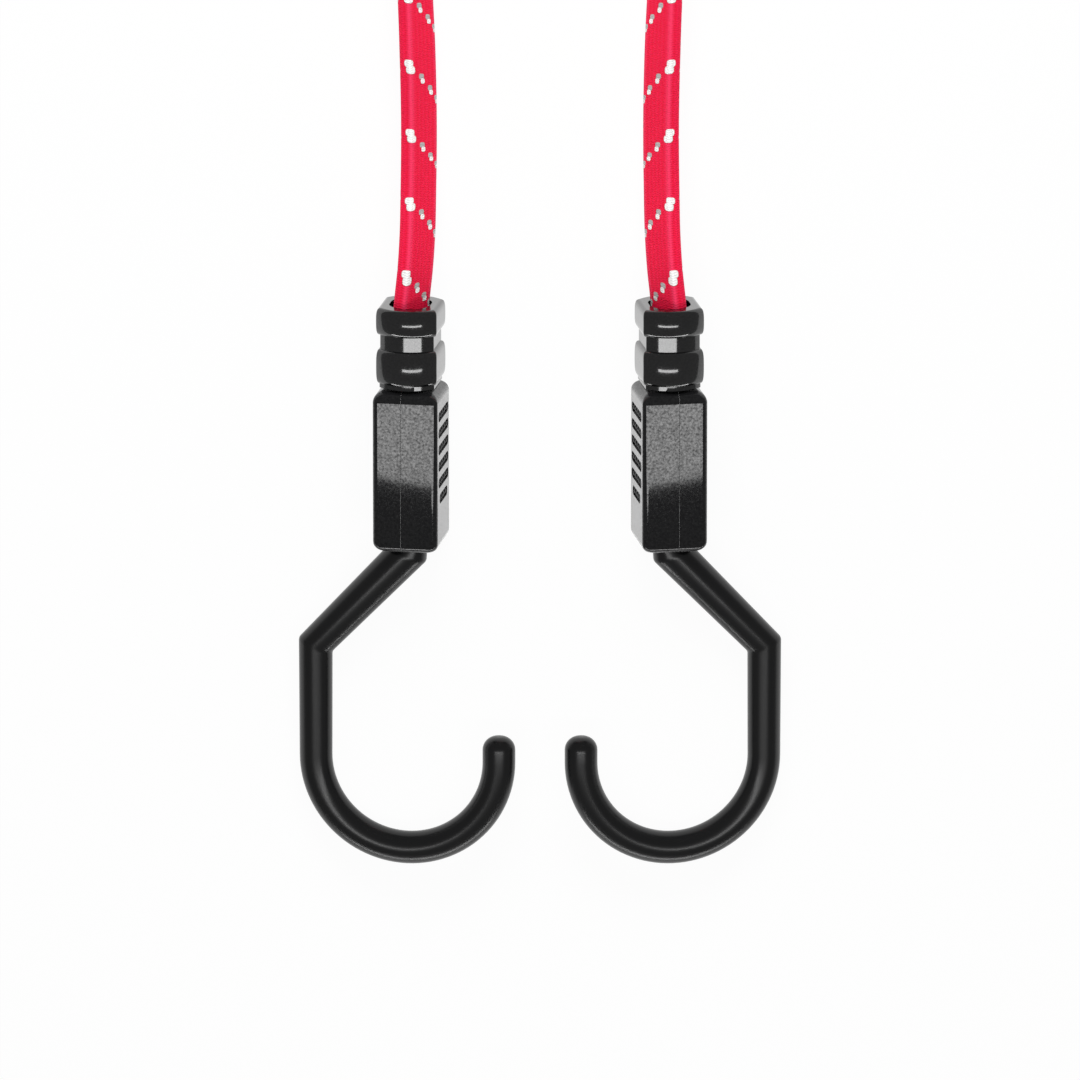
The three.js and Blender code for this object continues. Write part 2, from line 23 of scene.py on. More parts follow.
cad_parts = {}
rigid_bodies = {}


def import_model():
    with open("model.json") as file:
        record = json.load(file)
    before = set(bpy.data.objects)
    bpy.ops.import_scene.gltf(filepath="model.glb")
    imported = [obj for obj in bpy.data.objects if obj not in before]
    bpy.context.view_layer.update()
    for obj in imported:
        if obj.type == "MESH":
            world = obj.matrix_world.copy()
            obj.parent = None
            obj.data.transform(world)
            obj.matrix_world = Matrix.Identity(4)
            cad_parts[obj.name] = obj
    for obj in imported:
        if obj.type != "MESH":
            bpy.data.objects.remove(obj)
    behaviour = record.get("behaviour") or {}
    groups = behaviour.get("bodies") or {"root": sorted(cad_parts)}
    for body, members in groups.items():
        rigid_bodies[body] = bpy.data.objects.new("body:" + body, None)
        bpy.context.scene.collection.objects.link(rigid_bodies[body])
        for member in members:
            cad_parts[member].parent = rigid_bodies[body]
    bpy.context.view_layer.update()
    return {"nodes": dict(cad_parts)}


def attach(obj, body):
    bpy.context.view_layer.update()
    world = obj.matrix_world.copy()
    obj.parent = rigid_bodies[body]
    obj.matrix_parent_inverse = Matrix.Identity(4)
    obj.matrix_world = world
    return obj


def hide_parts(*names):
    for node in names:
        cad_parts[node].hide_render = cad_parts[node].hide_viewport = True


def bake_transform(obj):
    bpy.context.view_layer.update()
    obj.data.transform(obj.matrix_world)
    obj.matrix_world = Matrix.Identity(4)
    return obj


MM = 0.001
OVER = 1.0  # how far a cutting tool reaches past the solid, in mm
NEAR = 0.01  # how far apart two heights are still the same level, in mm
FACING = 0.9  # how much of a face's normal lies along the axis that it faces

Point = tuple[float, float, float]
Section = tuple[Vector, Vector, Vector]  # its middle, the way through the thickness, the way across

log = logging.getLogger("bungee_cord")


class Side(Enum):
    """The two ends of the cord, with the sign of X on which each lies."""

    LEFT = -1
    RIGHT = 1

    @property
    def word(self) -> str:
        """The side's name as the frame's nodes start with it."""
        return self.name.lower()

    def at(self, point: Point) -> Point:
        """A point that is given for the right side, on this side."""
        return (self.value * point[0], point[1], point[2])


class Carve(Enum):
    """What one solid does to another."""

    JOIN = "UNION"
    CUT = "DIFFERENCE"
    KEEP = "INTERSECT"


class Part(Enum):
    """What a selection in edit mode is made of."""

    EDGES = "EDGE"
    FACES = "FACE"


# The bench: operators and selections


def deselect_all() -> None:
    """Deselects every object, the frame's nodes included."""
    for item in bpy.context.scene.objects:
        item.select_set(False)


def hold(piece: bpy.types.Object) -> None:
    """Makes one object the only selected and the active one.

    Args:
        piece: The object to work on.
    """
    deselect_all()
    piece.select_set(True)
    bpy.context.view_layer.objects.active = piece


def into_scene(name: str, data: Any) -> bpy.types.Object:
    """Makes an object of a mesh, a lamp or a camera and puts it in the scene.

    Args:
        name: The object's name.
        data: The mesh, lamp or camera.

    Returns:
        The new object.
    """
    made = bpy.data.objects.new(name, data)
    bpy.context.scene.collection.objects.link(made)
    return made


def started(name: str) -> bpy.types.Object:
    """Names the primitive that was just added and applies its size and place.

    Args:
        name: The name it gets.

    Returns:
        The new object.
    """
    piece = bpy.context.active_object
    hold(piece)
    bpy.ops.object.transform_apply(location=True, rotation=True, scale=True)
    piece.name = name
    return piece


@contextmanager
def editing(piece: bpy.types.Object) -> Iterator[None]:
    """Opens one object in edit mode with nothing selected.

    Args:
        piece: The mesh object to edit.

    Yields:
        Nothing, while edit mode is on.
    """
    hold(piece)
    bpy.ops.object.mode_set(mode="EDIT")
    bpy.ops.mesh.select_all(action="DESELECT")
    try:
        yield
    finally:
        bpy.ops.object.mode_set(mode="OBJECT")


def pick(piece: bpy.types.Object, part: Part, test: Callable[[Any], bool]) -> None:
    """Selects the edges or faces that pass a test, and nothing else.

    Args:
        piece: The mesh object in edit mode.
        part: What is picked.
        test: Says whether one edge or face is picked.
    """
    bpy.ops.mesh.select_mode(type=part.value)
    bpy.ops.mesh.select_all(action="DESELECT")
    mesh = bmesh.from_edit_mesh(piece.data)
    for row in mesh.edges if part is Part.EDGES else mesh.faces:
        if test(row):
            row.select_set(True)
    mesh.select_flush_mode()
    bmesh.update_edit_mesh(piece.data)


def round_edges(
    piece: bpy.types.Object, test: Callable[[Any], bool], radius: float, segments: int
) -> None:
    """Rounds the edges that pass a test.

    Args:
        piece: The mesh object.
        test: Says whether one edge is rounded.
        radius: The round's radius.
        segments: The round's steps.
    """
    with editing(piece):
        pick(piece, Part.EDGES, test)
        bpy.ops.mesh.bevel(offset=radius, segments=segments, affect="EDGES", clamp_overlap=False)


def runs_up_a_corner(edge: Any) -> bool:
    """Whether an edge leaves its level and stays in one quarter round the middle."""
    a, b = (vertex.co for vertex in edge.verts)
    return abs(a.z - b.z) > 1e-4 and a.x * b.x > 0 and a.y * b.y > 0


def face_outwards(piece: bpy.types.Object) -> None:
    """Turns all the faces of a closed mesh outwards.

    Args:
        piece: The mesh object.
    """
    with editing(piece):
        bpy.ops.mesh.select_all(action="SELECT")
        bpy.ops.mesh.normals_make_consistent(inside=False)


def apply_modifier(piece: bpy.types.Object, kind: str, **settings: Any) -> None:
    """Adds a modifier to an object and applies it.

    Args:
        piece: The mesh object.
        kind: The modifier's type.
        **settings: The modifier's own properties.
    """
    modifier = piece.modifiers.new(kind.lower(), kind)
    for name, value in settings.items():
        setattr(modifier, name, value)
    hold(piece)
    bpy.ops.object.modifier_apply(modifier=modifier.name)


def carve(piece: bpy.types.Object, tool: bpy.types.Object, way: Carve) -> None:
    """Joins, cuts or trims a solid with another, which is used up.

    Args:
        piece: The solid that stays.
        tool: The solid that works on it.
        way: What the tool does.
    """
    apply_modifier(piece, "BOOLEAN", operation=way.value, solver="EXACT", object=tool)
    bpy.data.objects.remove(tool, do_unlink=True)


def soften(
    piece: bpy.types.Object, width: float, segments: int = 2, sharper_than: float = 38
) -> None:
    """Breaks the sharp edges with a small round, and shades the rest smooth.

    Args:
        piece: The mesh object.
        width: The round's width.
        segments: The round's steps.
        sharper_than: The angle in degrees past which an edge is sharp.
    """
    angle = math.radians(sharper_than)
    apply_modifier(
        piece, "BEVEL", width=width, segments=segments, limit_method="ANGLE", angle_limit=angle,
        use_clamp_overlap=True,
    )
    bpy.ops.object.shade_smooth_by_angle(angle=angle)


def even_normals(piece: bpy.types.Object) -> None:
    """Lets the large faces rule the shading, so that the flat ones mirror as flat ones do.

    Args:
        piece: The finished mesh object.
    """
    apply_modifier(piece, "WEIGHTED_NORMAL", mode="FACE_AREA", weight=100, keep_sharp=True)


def block(name: str, size: Sequence[float], middle: Sequence[float]) -> bpy.types.Object:
    """A box.

    Args:
        name: Its name.
        size: Its width, depth and height.
        middle: Its middle.

    Returns:
        The box.
    """
    deselect_all()
    bpy.ops.mesh.primitive_cube_add(size=1, location=middle, scale=size)
    return started(name)


def bevelled_block(
    name: str, size: Sequence[float], middle: Sequence[float], radius: float, along: int,
    segments: int = 6,
) -> bpy.types.Object:
    """A box whose four edges along one way are rounded.

    Args:
        name: Its name.
        size: Its width, depth and height.
        middle: Its middle.
        radius: The edges' radius.
        along: The way of the rounded edges, 0 for X, 1 for Y and 2 for Z.
        segments: The steps of each round.

    Returns:
        The box.
    """
    box = block(name, size, middle)

    def runs_along(edge: Any) -> bool:
        """Whether an edge runs the box's length in that way."""
        return abs((edge.verts[0].co - edge.verts[1].co)[along]) > size[along] / 2

    round_edges(box, runs_along, radius, segments)
    return box


def drum(name: str, radius: float, low: float, high: float, sides: int) -> bpy.types.Object:
    """An upright cylinder between two heights.

    Args:
        name: Its name.
        radius: Its radius.
        low: The height of its lower end.
        high: The height of its upper end.
        sides: How many sides its round has.

    Returns:
        The cylinder.
    """
    deselect_all()
    bpy.ops.mesh.primitive_cylinder_add(
        vertices=sides, radius=radius, depth=high - low, location=(0, 0, (low + high) / 2)
    )
    return started(name)


def disc(name: str, radius: float, height: float, sides: int) -> bpy.types.Object:
    """A level round face, from which a piece is drawn out.

    Args:
        name: Its name.
        radius: Its radius.
        height: Its height.
        sides: How many sides its round has.

    Returns:
        The disc.
    """
    deselect_all()
    bpy.ops.mesh.primitive_circle_add(
        vertices=sides, radius=radius, fill_type="NGON", location=(0, 0, height)
    )
    return started(name)


def flatten_sides(piece: bpy.types.Object, half_width: float) -> None:
    """Cuts a flat on each side of a round piece.

    Args:
        piece: The round piece.
        half_width: How far each flat lies from the middle.
    """
    for sign in (1, -1):
        with editing(piece):
            bpy.ops.mesh.select_all(action="SELECT")
            bpy.ops.mesh.bisect(
                plane_co=(sign * half_width, 0, 0), plane_no=(sign, 0, 0), use_fill=True,
                clear_outer=True,
            )


@dataclass(frozen=True)
class Ring:
    """One level of a piece that is drawn up ring by ring: its height and half sizes."""

    height: float
    half_width: float
    half_depth: float


def draw_out(piece: bpy.types.Object, rings: Sequence[Ring], upwards: bool = True) -> None:
    """Extrudes a level face through a run of rings, sizing it at each.

    Args:
        piece: The mesh object.
        rings: The ring at which the face lies, and those that it passes, in order.
        upwards: Whether the face looks up.
    """
    sign = 1 if upwards else -1
    level = rings[0].height
    with editing(piece):
        pick(piece, Part.FACES, lambda face: (
            abs(face.calc_center_median().z - level) < NEAR and face.normal.z * sign > FACING
        ))
        for now, then in zip(rings, rings[1:]):
            bpy.ops.mesh.extrude_region_move(
                TRANSFORM_OT_translate={"value": (0, 0, then.height - now.height)}
            )
            bpy.ops.transform.resize(
                value=(then.half_width / now.half_width, then.half_depth / now.half_depth, 1),
                center_override=(0, 0, then.height),
            )


# Finishes


def linear(colour: str) -> tuple[float, float, float, float]:
    """Turns an sRGB hex colour into linear values.

    Args:
        colour: Six hex digits after a hash sign.

    Returns:
        Red, green, blue and alpha.
    """
    parts = [int(colour[i:i + 2], 16) / 255 for i in (1, 3, 5)]
    red, green, blue = (
        c / 12.92 if c <= 0.04045 else ((c + 0.055) / 1.055) ** 2.4 for c in parts
    )
    return (red, green, blue, 1.0)


def add_node(
    tree: bpy.types.NodeTree, kind: str, links: dict | None = None, **settings: Any
) -> Any:
    """Adds a node with its settings and its inputs.

    Args:
        tree: The node tree.
        kind: The node's type.
        links: Each input's name or number, with a value, the socket that feeds it, or the node
            whose first live output feeds it.
        **settings: The node's own properties.

    Returns:
        The node.
    """
    made = tree.nodes.new(kind)
    for name, value in settings.items():
        setattr(made, name, value)
    for key, value in (links or {}).items():
        if isinstance(value, bpy.types.Node):
            value = next(output for output in value.outputs if output.enabled)
        if isinstance(value, bpy.types.NodeSocket):
            tree.links.new(value, made.inputs[key])
        else:
            made.inputs[key].default_value = value
    return made


def new_material(name: str, values: dict) -> tuple[bpy.types.Material, bpy.types.NodeTree, Any]:
    """A material with a shader and its output.

    Args:
        name: Its name.
        values: The shader's inputs that are the same all over the surface.

    Returns:
        The material, its node tree and the shader's inputs.
    """
    material = bpy.data.materials.new(name)
    material.use_nodes = True
    tree = material.node_tree
    tree.nodes.clear()
    shader = add_node(tree, "ShaderNodeBsdfPrincipled", values)
    add_node(tree, "ShaderNodeOutputMaterial", {"Surface": shader})
    return material, tree, shader.inputs


@dataclass(frozen=True)
class MouldedPlastic:
    """Injection-moulded plastic with a tool's fine spark-eroded grain.

    The grain's spacing and depth are in millimetres. It also varies the roughness by the mottle,
    and the shine by the share that speckle says, which gives grained plastic its soft glitter.
    """

    name: str
    colour: str
    roughness: float
    grain: float
    grain_depth: float
    mottle: float = 0.06
    gloss: float = 0.0
    ior: float = 1.5
    speckle: float = 0.0
    sheen: float = 0.0

    def make(self) -> bpy.types.Material:
        """Builds the material.

        Returns:
            The material.
        """
        material, tree, inputs = new_material(self.name, {
            "Base Color": linear(self.colour), "IOR": self.ior,
            "Coat Weight": self.gloss, "Coat Roughness": 0.03,
            "Sheen Weight": self.sheen, "Sheen Roughness": 0.25,
        })
        place = add_node(tree, "ShaderNodeTexCoord")
        grain = add_node(tree, "ShaderNodeTexNoise", {
            "Vector": place.outputs["Object"], "Scale": 1 / (self.grain * MM), "Detail": 2.0,
            "Roughness": 0.6,
        })
        spreads = (
            ("Roughness", self.roughness, self.mottle),
            ("Specular IOR Level", 0.5, 0.5 * self.speckle),
        )
        for socket, middle, spread in spreads:
            if spread:
                varied = add_node(tree, "ShaderNodeMapRange", {
                    "Value": grain, "From Min": 0.3, "From Max": 0.7,
                    "To Min": middle - spread, "To Max": middle + spread,
                })
                tree.links.new(varied.outputs["Result"], inputs[socket])
        bump = add_node(tree, "ShaderNodeBump", {
            "Height": grain, "Distance": self.grain_depth * MM, "Strength": 1.0,
        })
        tree.links.new(bump.outputs["Normal"], inputs["Normal"])
        return material


@dataclass(frozen=True)
class DippedNylon:
    """Nylon melted onto the hook's wire: an even satin with a faint orange peel and no grain."""

    name: str = "satin_nylon"
    colour: str = "#0a0a0b"
    roughness: float = 0.28
    ior: float = 1.45
    peel: float = 2.5
    peel_depth: float = 0.003

    def make(self) -> bpy.types.Material:
        """Builds the material.

        Returns:
            The material.
        """
        material, tree, inputs = new_material(self.name, {
            "Base Color": linear(self.colour), "Roughness": self.roughness, "IOR": self.ior,
        })
        place = add_node(tree, "ShaderNodeTexCoord")
        peel = add_node(tree, "ShaderNodeTexNoise", {
            "Vector": place.outputs["Object"], "Scale": 1 / (self.peel * MM), "Detail": 1.0,
        })
        bump = add_node(tree, "ShaderNodeBump", {
            "Height": peel, "Distance": self.peel_depth * MM, "Strength": 1.0,
        })
        tree.links.new(bump.outputs["Normal"], inputs["Normal"])
        return material


@dataclass(frozen=True)
class DrawnSteel:
    """Drawn steel wire or strip with a thin zinc coat: bright, its shine broken by fine lines."""

    name: str
    colour: str
    roughness: float
    line: float = 0.25

    def make(self) -> bpy.types.Material:
        """Builds the material.

        Returns:
            The material.
        """
        material, tree, inputs = new_material(
            self.name, {"Base Color": linear(self.colour), "Metallic": 1.0}
        )
        place = add_node(tree, "ShaderNodeTexCoord")
        lines = add_node(tree, "ShaderNodeTexNoise", {
            "Vector": place.outputs["Object"], "Scale": 1 / (self.line * MM), "Detail": 3.0,
        })
        rough = add_node(tree, "ShaderNodeMapRange", {
            "Value": lines, "To Min": self.roughness - 0.08, "To Max": self.roughness + 0.12,
        })
        tree.links.new(rough.outputs["Result"], inputs["Roughness"])
        return material


@dataclass(frozen=True)
class LatexRubber:
    """Cut latex thread, dusted with talc: warm cream, dull, slightly uneven."""

    name: str = "latex_rubber"
    colour: str = "#d8c9a6"
    dusted: str = "#e9e2cf"
    patch: float = 2.0

    def make(self) -> bpy.types.Material:
        """Builds the material.

        Returns:
            The material.
        """
        material, tree, inputs = new_material(self.name, {"Roughness": 0.8})
        place = add_node(tree, "ShaderNodeTexCoord")
        dust = add_node(tree, "ShaderNodeTexNoise", {
            "Vector": place.outputs["Object"], "Scale": 1 / (self.patch * MM), "Detail": 4.0,
        })
        tone = add_node(
            tree, "ShaderNodeMix",
            {"Factor": dust, "A": linear(self.colour), "B": linear(self.dusted)}, data_type="RGBA",
        )
        tree.links.new(tone.outputs["Result"], inputs["Base Color"])
        return material


@dataclass(frozen=True)
class WovenStrap:
    """The sheath: polyester woven round the rubber, in columns of fine chain stitch across ribs,
    with white tracer floats that cross each face on a slant.

    The weave takes the shine off the red, and the reflective floats stand a little proud. The
    pattern reads the strap's own maps, in millimetres. The ribs' width is a guess, since they are
    too fine for the photograph. The table of floats gives each lobe's place round the strap and
    along it, its half sizes and its brightness.
    """

    name: str = "woven_polyester"
    colour: str = "#f91f4f"
    # The pink of the sheen, and of the painted highlight along the corners.
    bright: str = "#ff5a86"
    # The red of the painted shade in the weave's grooves.
    deep: str = "#e80a30"
    tracer: str = "#fbfbf9"
    tracer_shade: str = "#7d7d7d"
    rib: float = 0.6
    column: float = 1.5
    repeat: float = 18.12
    half_round: float = 13.71
    wide_turn: float = 10.26
    slope: float = 0.7
    proud: float = 1.2
    relief: float = 0.12
    corner_shift: float = 0.25
    corner_reach: float = 1.35
    floats: tuple[tuple[float, float, float, float, float], ...] = (
        (-0.35, 0.62, 1.5, 1.05, 1.0), (0.25, -0.6, 1.6, 1.1, 1.0),
        (4.15, 0.5, 1.05, 0.8, 0.35), (4.6, -0.35, 0.85, 0.75, 1.0),
        (7.4, -0.15, 0.95, 0.78, 0.35), (7.8, -0.95, 0.8, 0.7, 1.0),
        (9.7, -0.95, 0.75, 0.7, 0.35), (9.95, -1.7, 0.65, 0.62, 0.8),
    )

    def make(self) -> bpy.types.Material:
        """Builds the material.

        Returns:
            The material.
        """
        material, tree, inputs = new_material(self.name, {
            "Roughness": 0.7, "Specular IOR Level": 0.2, "Sheen Weight": 0.15,
            "Sheen Roughness": 0.4, "Sheen Tint": linear(self.bright),
        })
        height, shade = self._weave(tree)
        mask, lobe = self._floats(tree)
        # Painted shade in the weave's grooves, mixed with the fibres' random tone.
        red = add_node(
            tree, "ShaderNodeMix",
            {"Factor": shade, "A": linear(self.deep), "B": linear(self.colour)}, data_type="RGBA",
        )
        # Painted highlight: the red turns pink in strips along the corners.
        red = add_node(
            tree, "ShaderNodeMix",
            {"Factor": self._corners(tree), "A": red, "B": linear(self.bright)}, data_type="RGBA",
        )
        white = add_node(
            tree, "ShaderNodeMix",
            {"Factor": lobe, "A": linear(self.tracer_shade), "B": linear(self.tracer)},
            data_type="RGBA",
        )
        colour = add_node(
            tree, "ShaderNodeMix", {"Factor": mask, "A": red, "B": white}, data_type="RGBA"
        )
        raised = add_node(tree, "ShaderNodeMath", {0: mask, 1: self.proud}, operation="MULTIPLY")
        total = add_node(tree, "ShaderNodeMath", {0: height, 1: raised}, operation="ADD")
        bump = add_node(
            tree, "ShaderNodeBump", {"Height": total, "Distance": self.relief * MM, "Strength": 0.8}
        )
        tree.links.new(colour.outputs["Result"], inputs["Base Color"])
        tree.links.new(bump.outputs["Normal"], inputs["Normal"])
        return material

    def _wave(self, tree: bpy.types.NodeTree, value: Any, period: float, shift: Any = 0.0) -> Any:
        """A hump that repeats along a length.

        Args:
            tree: The node tree.
            value: The socket with the length.
            period: The hump's length.
            shift: A number or node added before the wave, in periods.

        Returns:
            The node, from 0 in the groove to 1 on the hump.
        """
        turns = add_node(
            tree, "ShaderNodeMath", {0: value, 1: 1 / period, 2: shift}, operation="MULTIPLY_ADD"
        )
        angle = add_node(tree, "ShaderNodeMath", {0: turns, 1: math.tau}, operation="MULTIPLY")
        wave = add_node(tree, "ShaderNodeMath", {0: angle}, operation="COSINE")
        return add_node(tree, "ShaderNodeMath", {0: wave, 1: 0.5, 2: 0.5}, operation="MULTIPLY_ADD")

    def _corners(self, tree: bpy.types.NodeTree) -> Any:
        """The painted highlight along the strap's corners: strips where the red is mixed towards
        pink, standing in for the light that the rounded corners catch.

        Args:
            tree: The node tree.

        Returns:
            The node with the strips' share of the colour.
        """
        flat = add_node(tree, "ShaderNodeUVMap", uv_map="weave")
        axes = add_node(tree, "ShaderNodeSeparateXYZ", {"Vector": flat})
        half = self.half_round / 2
        strips = []
        for place in (self.corner_shift, self.wide_turn - self.corner_shift):
            away = add_node(
                tree, "ShaderNodeMath", {0: axes.outputs["X"], 1: place}, operation="SUBTRACT"
            )
            away = add_node(tree, "ShaderNodeMath", {0: away, 1: half, 2: -half}, operation="WRAP")
            away = add_node(tree, "ShaderNodeMath", {0: away}, operation="ABSOLUTE")
            strips.append(add_node(
                tree, "ShaderNodeMapRange",
                {"Value": away, "From Min": self.corner_reach, "From Max": 0.2, "To Max": 0.32},
                interpolation_type="SMOOTHSTEP",
            ))
        return add_node(tree, "ShaderNodeMath", {0: strips[0], 1: strips[1]}, operation="MAXIMUM")

    def _weave(self, tree: bpy.types.NodeTree) -> tuple[Any, Any]:
        """The chain stitch: ribs across, slanted to and fro in columns.

        Args:
            tree: The node tree.

        Returns:
            The nodes with the weave's height and with its painted shade, darker in the grooves and
            varied at random by the fibres.
        """
        flat = add_node(tree, "ShaderNodeUVMap", uv_map="weave")
        axes = add_node(tree, "ShaderNodeSeparateXYZ", {"Vector": flat})
        column = self._wave(tree, axes.outputs["X"], self.column)
        slant = add_node(tree, "ShaderNodeMath", {0: column, 1: 0.5}, operation="MULTIPLY")
        rib = self._wave(tree, axes.outputs["Y"], self.rib, slant)
        height = add_node(
            tree, "ShaderNodeMath", {0: rib, 1: 0.8, 2: slant}, operation="MULTIPLY_ADD"
        )
        fibre = add_node(
            tree, "ShaderNodeTexNoise", {"Vector": flat, "Scale": 1.6, "Detail": 3.0}
        )
        # Painted shade: the red darkens where the weave is low, in its grooves, and a fibre noise
        # varies it at random.
        tone = add_node(
            tree, "ShaderNodeMath", {0: height, 1: 0.42, 2: fibre}, operation="MULTIPLY_ADD"
        )
        shade = add_node(
            tree, "ShaderNodeMapRange", {"Value": tone, "From Min": 0.4, "From Max": 1.05}
        )
        return height, shade

    def _floats(self, tree: bpy.types.NodeTree) -> tuple[Any, Any]:
        """The tracer's floats: a big one round each narrow side, then smaller ones across a face.

        Args:
            tree: The node tree.

        Returns:
            The nodes with the floats' mask and with their brightness.
        """
        line = add_node(tree, "ShaderNodeUVMap", uv_map="tracer")
        axes = add_node(tree, "ShaderNodeSeparateXYZ", {"Vector": line})
        mask: Any = 0.0
        light: Any = 0.0
        half = self.half_round / 2
        period = self.repeat / 2
        for place, rise, half_width, half_length, brightness in self.floats:
            across = add_node(
                tree, "ShaderNodeMath", {0: axes.outputs["X"], 1: place}, operation="SUBTRACT"
            )
            across = add_node(
                tree, "ShaderNodeMath", {0: across, 1: half, 2: -half}, operation="WRAP"
            )
            along = add_node(
                tree, "ShaderNodeMath", {0: axes.outputs["Y"], 1: rise}, operation="SUBTRACT"
            )
            along = add_node(
                tree, "ShaderNodeMath", {0: along, 1: period, 2: -period}, operation="WRAP"
            )
            slid = add_node(tree, "ShaderNodeMath", {0: across, 1: -place}, operation="MAXIMUM")
            level = add_node(
                tree, "ShaderNodeMath", {0: slid, 1: -self.slope, 2: along},
                operation="MULTIPLY_ADD",
            )
            spread = add_node(tree, "ShaderNodeCombineXYZ", {"X": across, "Y": level})
            sized = add_node(
                tree, "ShaderNodeVectorMath", {0: spread, 1: (1 / half_width, 1 / half_length, 0)},
                operation="MULTIPLY",
            )
            # A sum of cubes gives each lobe the blunt corners of a folded-over yarn.
            size = add_node(tree, "ShaderNodeVectorMath", {0: sized}, operation="ABSOLUTE")
            square = add_node(
                tree, "ShaderNodeVectorMath", {0: size, 1: size}, operation="MULTIPLY"
            )
            cubes = add_node(
                tree, "ShaderNodeVectorMath", {0: square, 1: size}, operation="DOT_PRODUCT"
            )
            inside = add_node(
                tree, "ShaderNodeMapRange", {"Value": cubes, "From Min": 1.0, "From Max": 0.6}
            )
            lit = add_node(
                tree, "ShaderNodeMath", {0: inside, 1: brightness}, operation="MULTIPLY"
            )
            mask = add_node(tree, "ShaderNodeMath", {0: mask, 1: inside}, operation="MAXIMUM")
            light = add_node(tree, "ShaderNodeMath", {0: light, 1: lit}, operation="MAXIMUM")
        return mask, light


# The grain of the next three is drawn coarser than a real one of some 0.15 mm, so that it shows.
# ABS from a spark-eroded tool: nearly black, with a speckled grey shine.
HOUSING_ABS = MouldedPlastic(
    "grained_abs", "#161617", 0.035, grain=0.6, grain_depth=0.0002, mottle=0.005, gloss=0.16,
    ior=1.3, speckle=0.85, sheen=0.6,
)
# Thermoplastic elastomer from a polished tool: deep black with crisp, bright reflections.
COLLAR_TPE = MouldedPlastic(
    "glossy_tpe", "#0a0a0b", 0.13, grain=0.4, grain_depth=0.001, mottle=0.03, gloss=0.5, ior=1.55,
    speckle=0.3,
)
# A softer moulded rubber: matte black, so that only the beads' tops catch the light.
GRIP_RUBBER = MouldedPlastic("bead_rubber", "#0b0b0c", 0.35, grain=0.4, grain_depth=0.01)
HOOK_NYLON = DippedNylon()
CORE_STEEL = DrawnSteel("drawn_steel_wire", "#b4b4b0", 0.35)
CRIMP_STEEL = DrawnSteel("zinc_plated_strip", "#c3c3bd", 0.3)


# The end's place


@dataclass(frozen=True)
class EndPlace:
    """Where an end lies: its housing's foot, and how the end is pitched and rolled there."""

    offset: float = 32.502
    forward: float = 10.388
    height: float = 10.303
    pitch: float = 1.970
    roll: float = 9.8

    def matrix(self, side: Side) -> Matrix:
        """The way from the upright bench frame in millimetres to the ground in metres.

        Args:
            side: Which end it is. The right one is the mirror image of the left one.

        Returns:
            The matrix.
        """
        upright = Matrix(((1, 0, 0, 0), (0, 0, 1, 0), (0, -1, 0, 0), (0, 0, 0, 1)))
        pitch = Matrix.Rotation(math.radians(self.pitch), 4, "X")
        turn = pitch @ Matrix.Rotation(math.radians(-self.roll), 4, "Y")
        place = Matrix.Translation((-self.offset, self.forward, self.height)) @ turn @ upright
        mirror = Matrix.Diagonal((-1 if side is Side.RIGHT else 1, 1, 1, 1))
        return Matrix.Scale(MM, 4) @ mirror @ place

    def lay(self, piece: bpy.types.Object, side: Side) -> None:
        """Moves a finished mesh from the bench to its place.

        Args:
            piece: The mesh object, at the origin.
            side: Which end it belongs to.
        """
        matrix = self.matrix(side)
        piece.data.transform(matrix)
        if matrix.is_negative:
            piece.data.flip_normals()
        piece.data.update()


# The pieces of an end


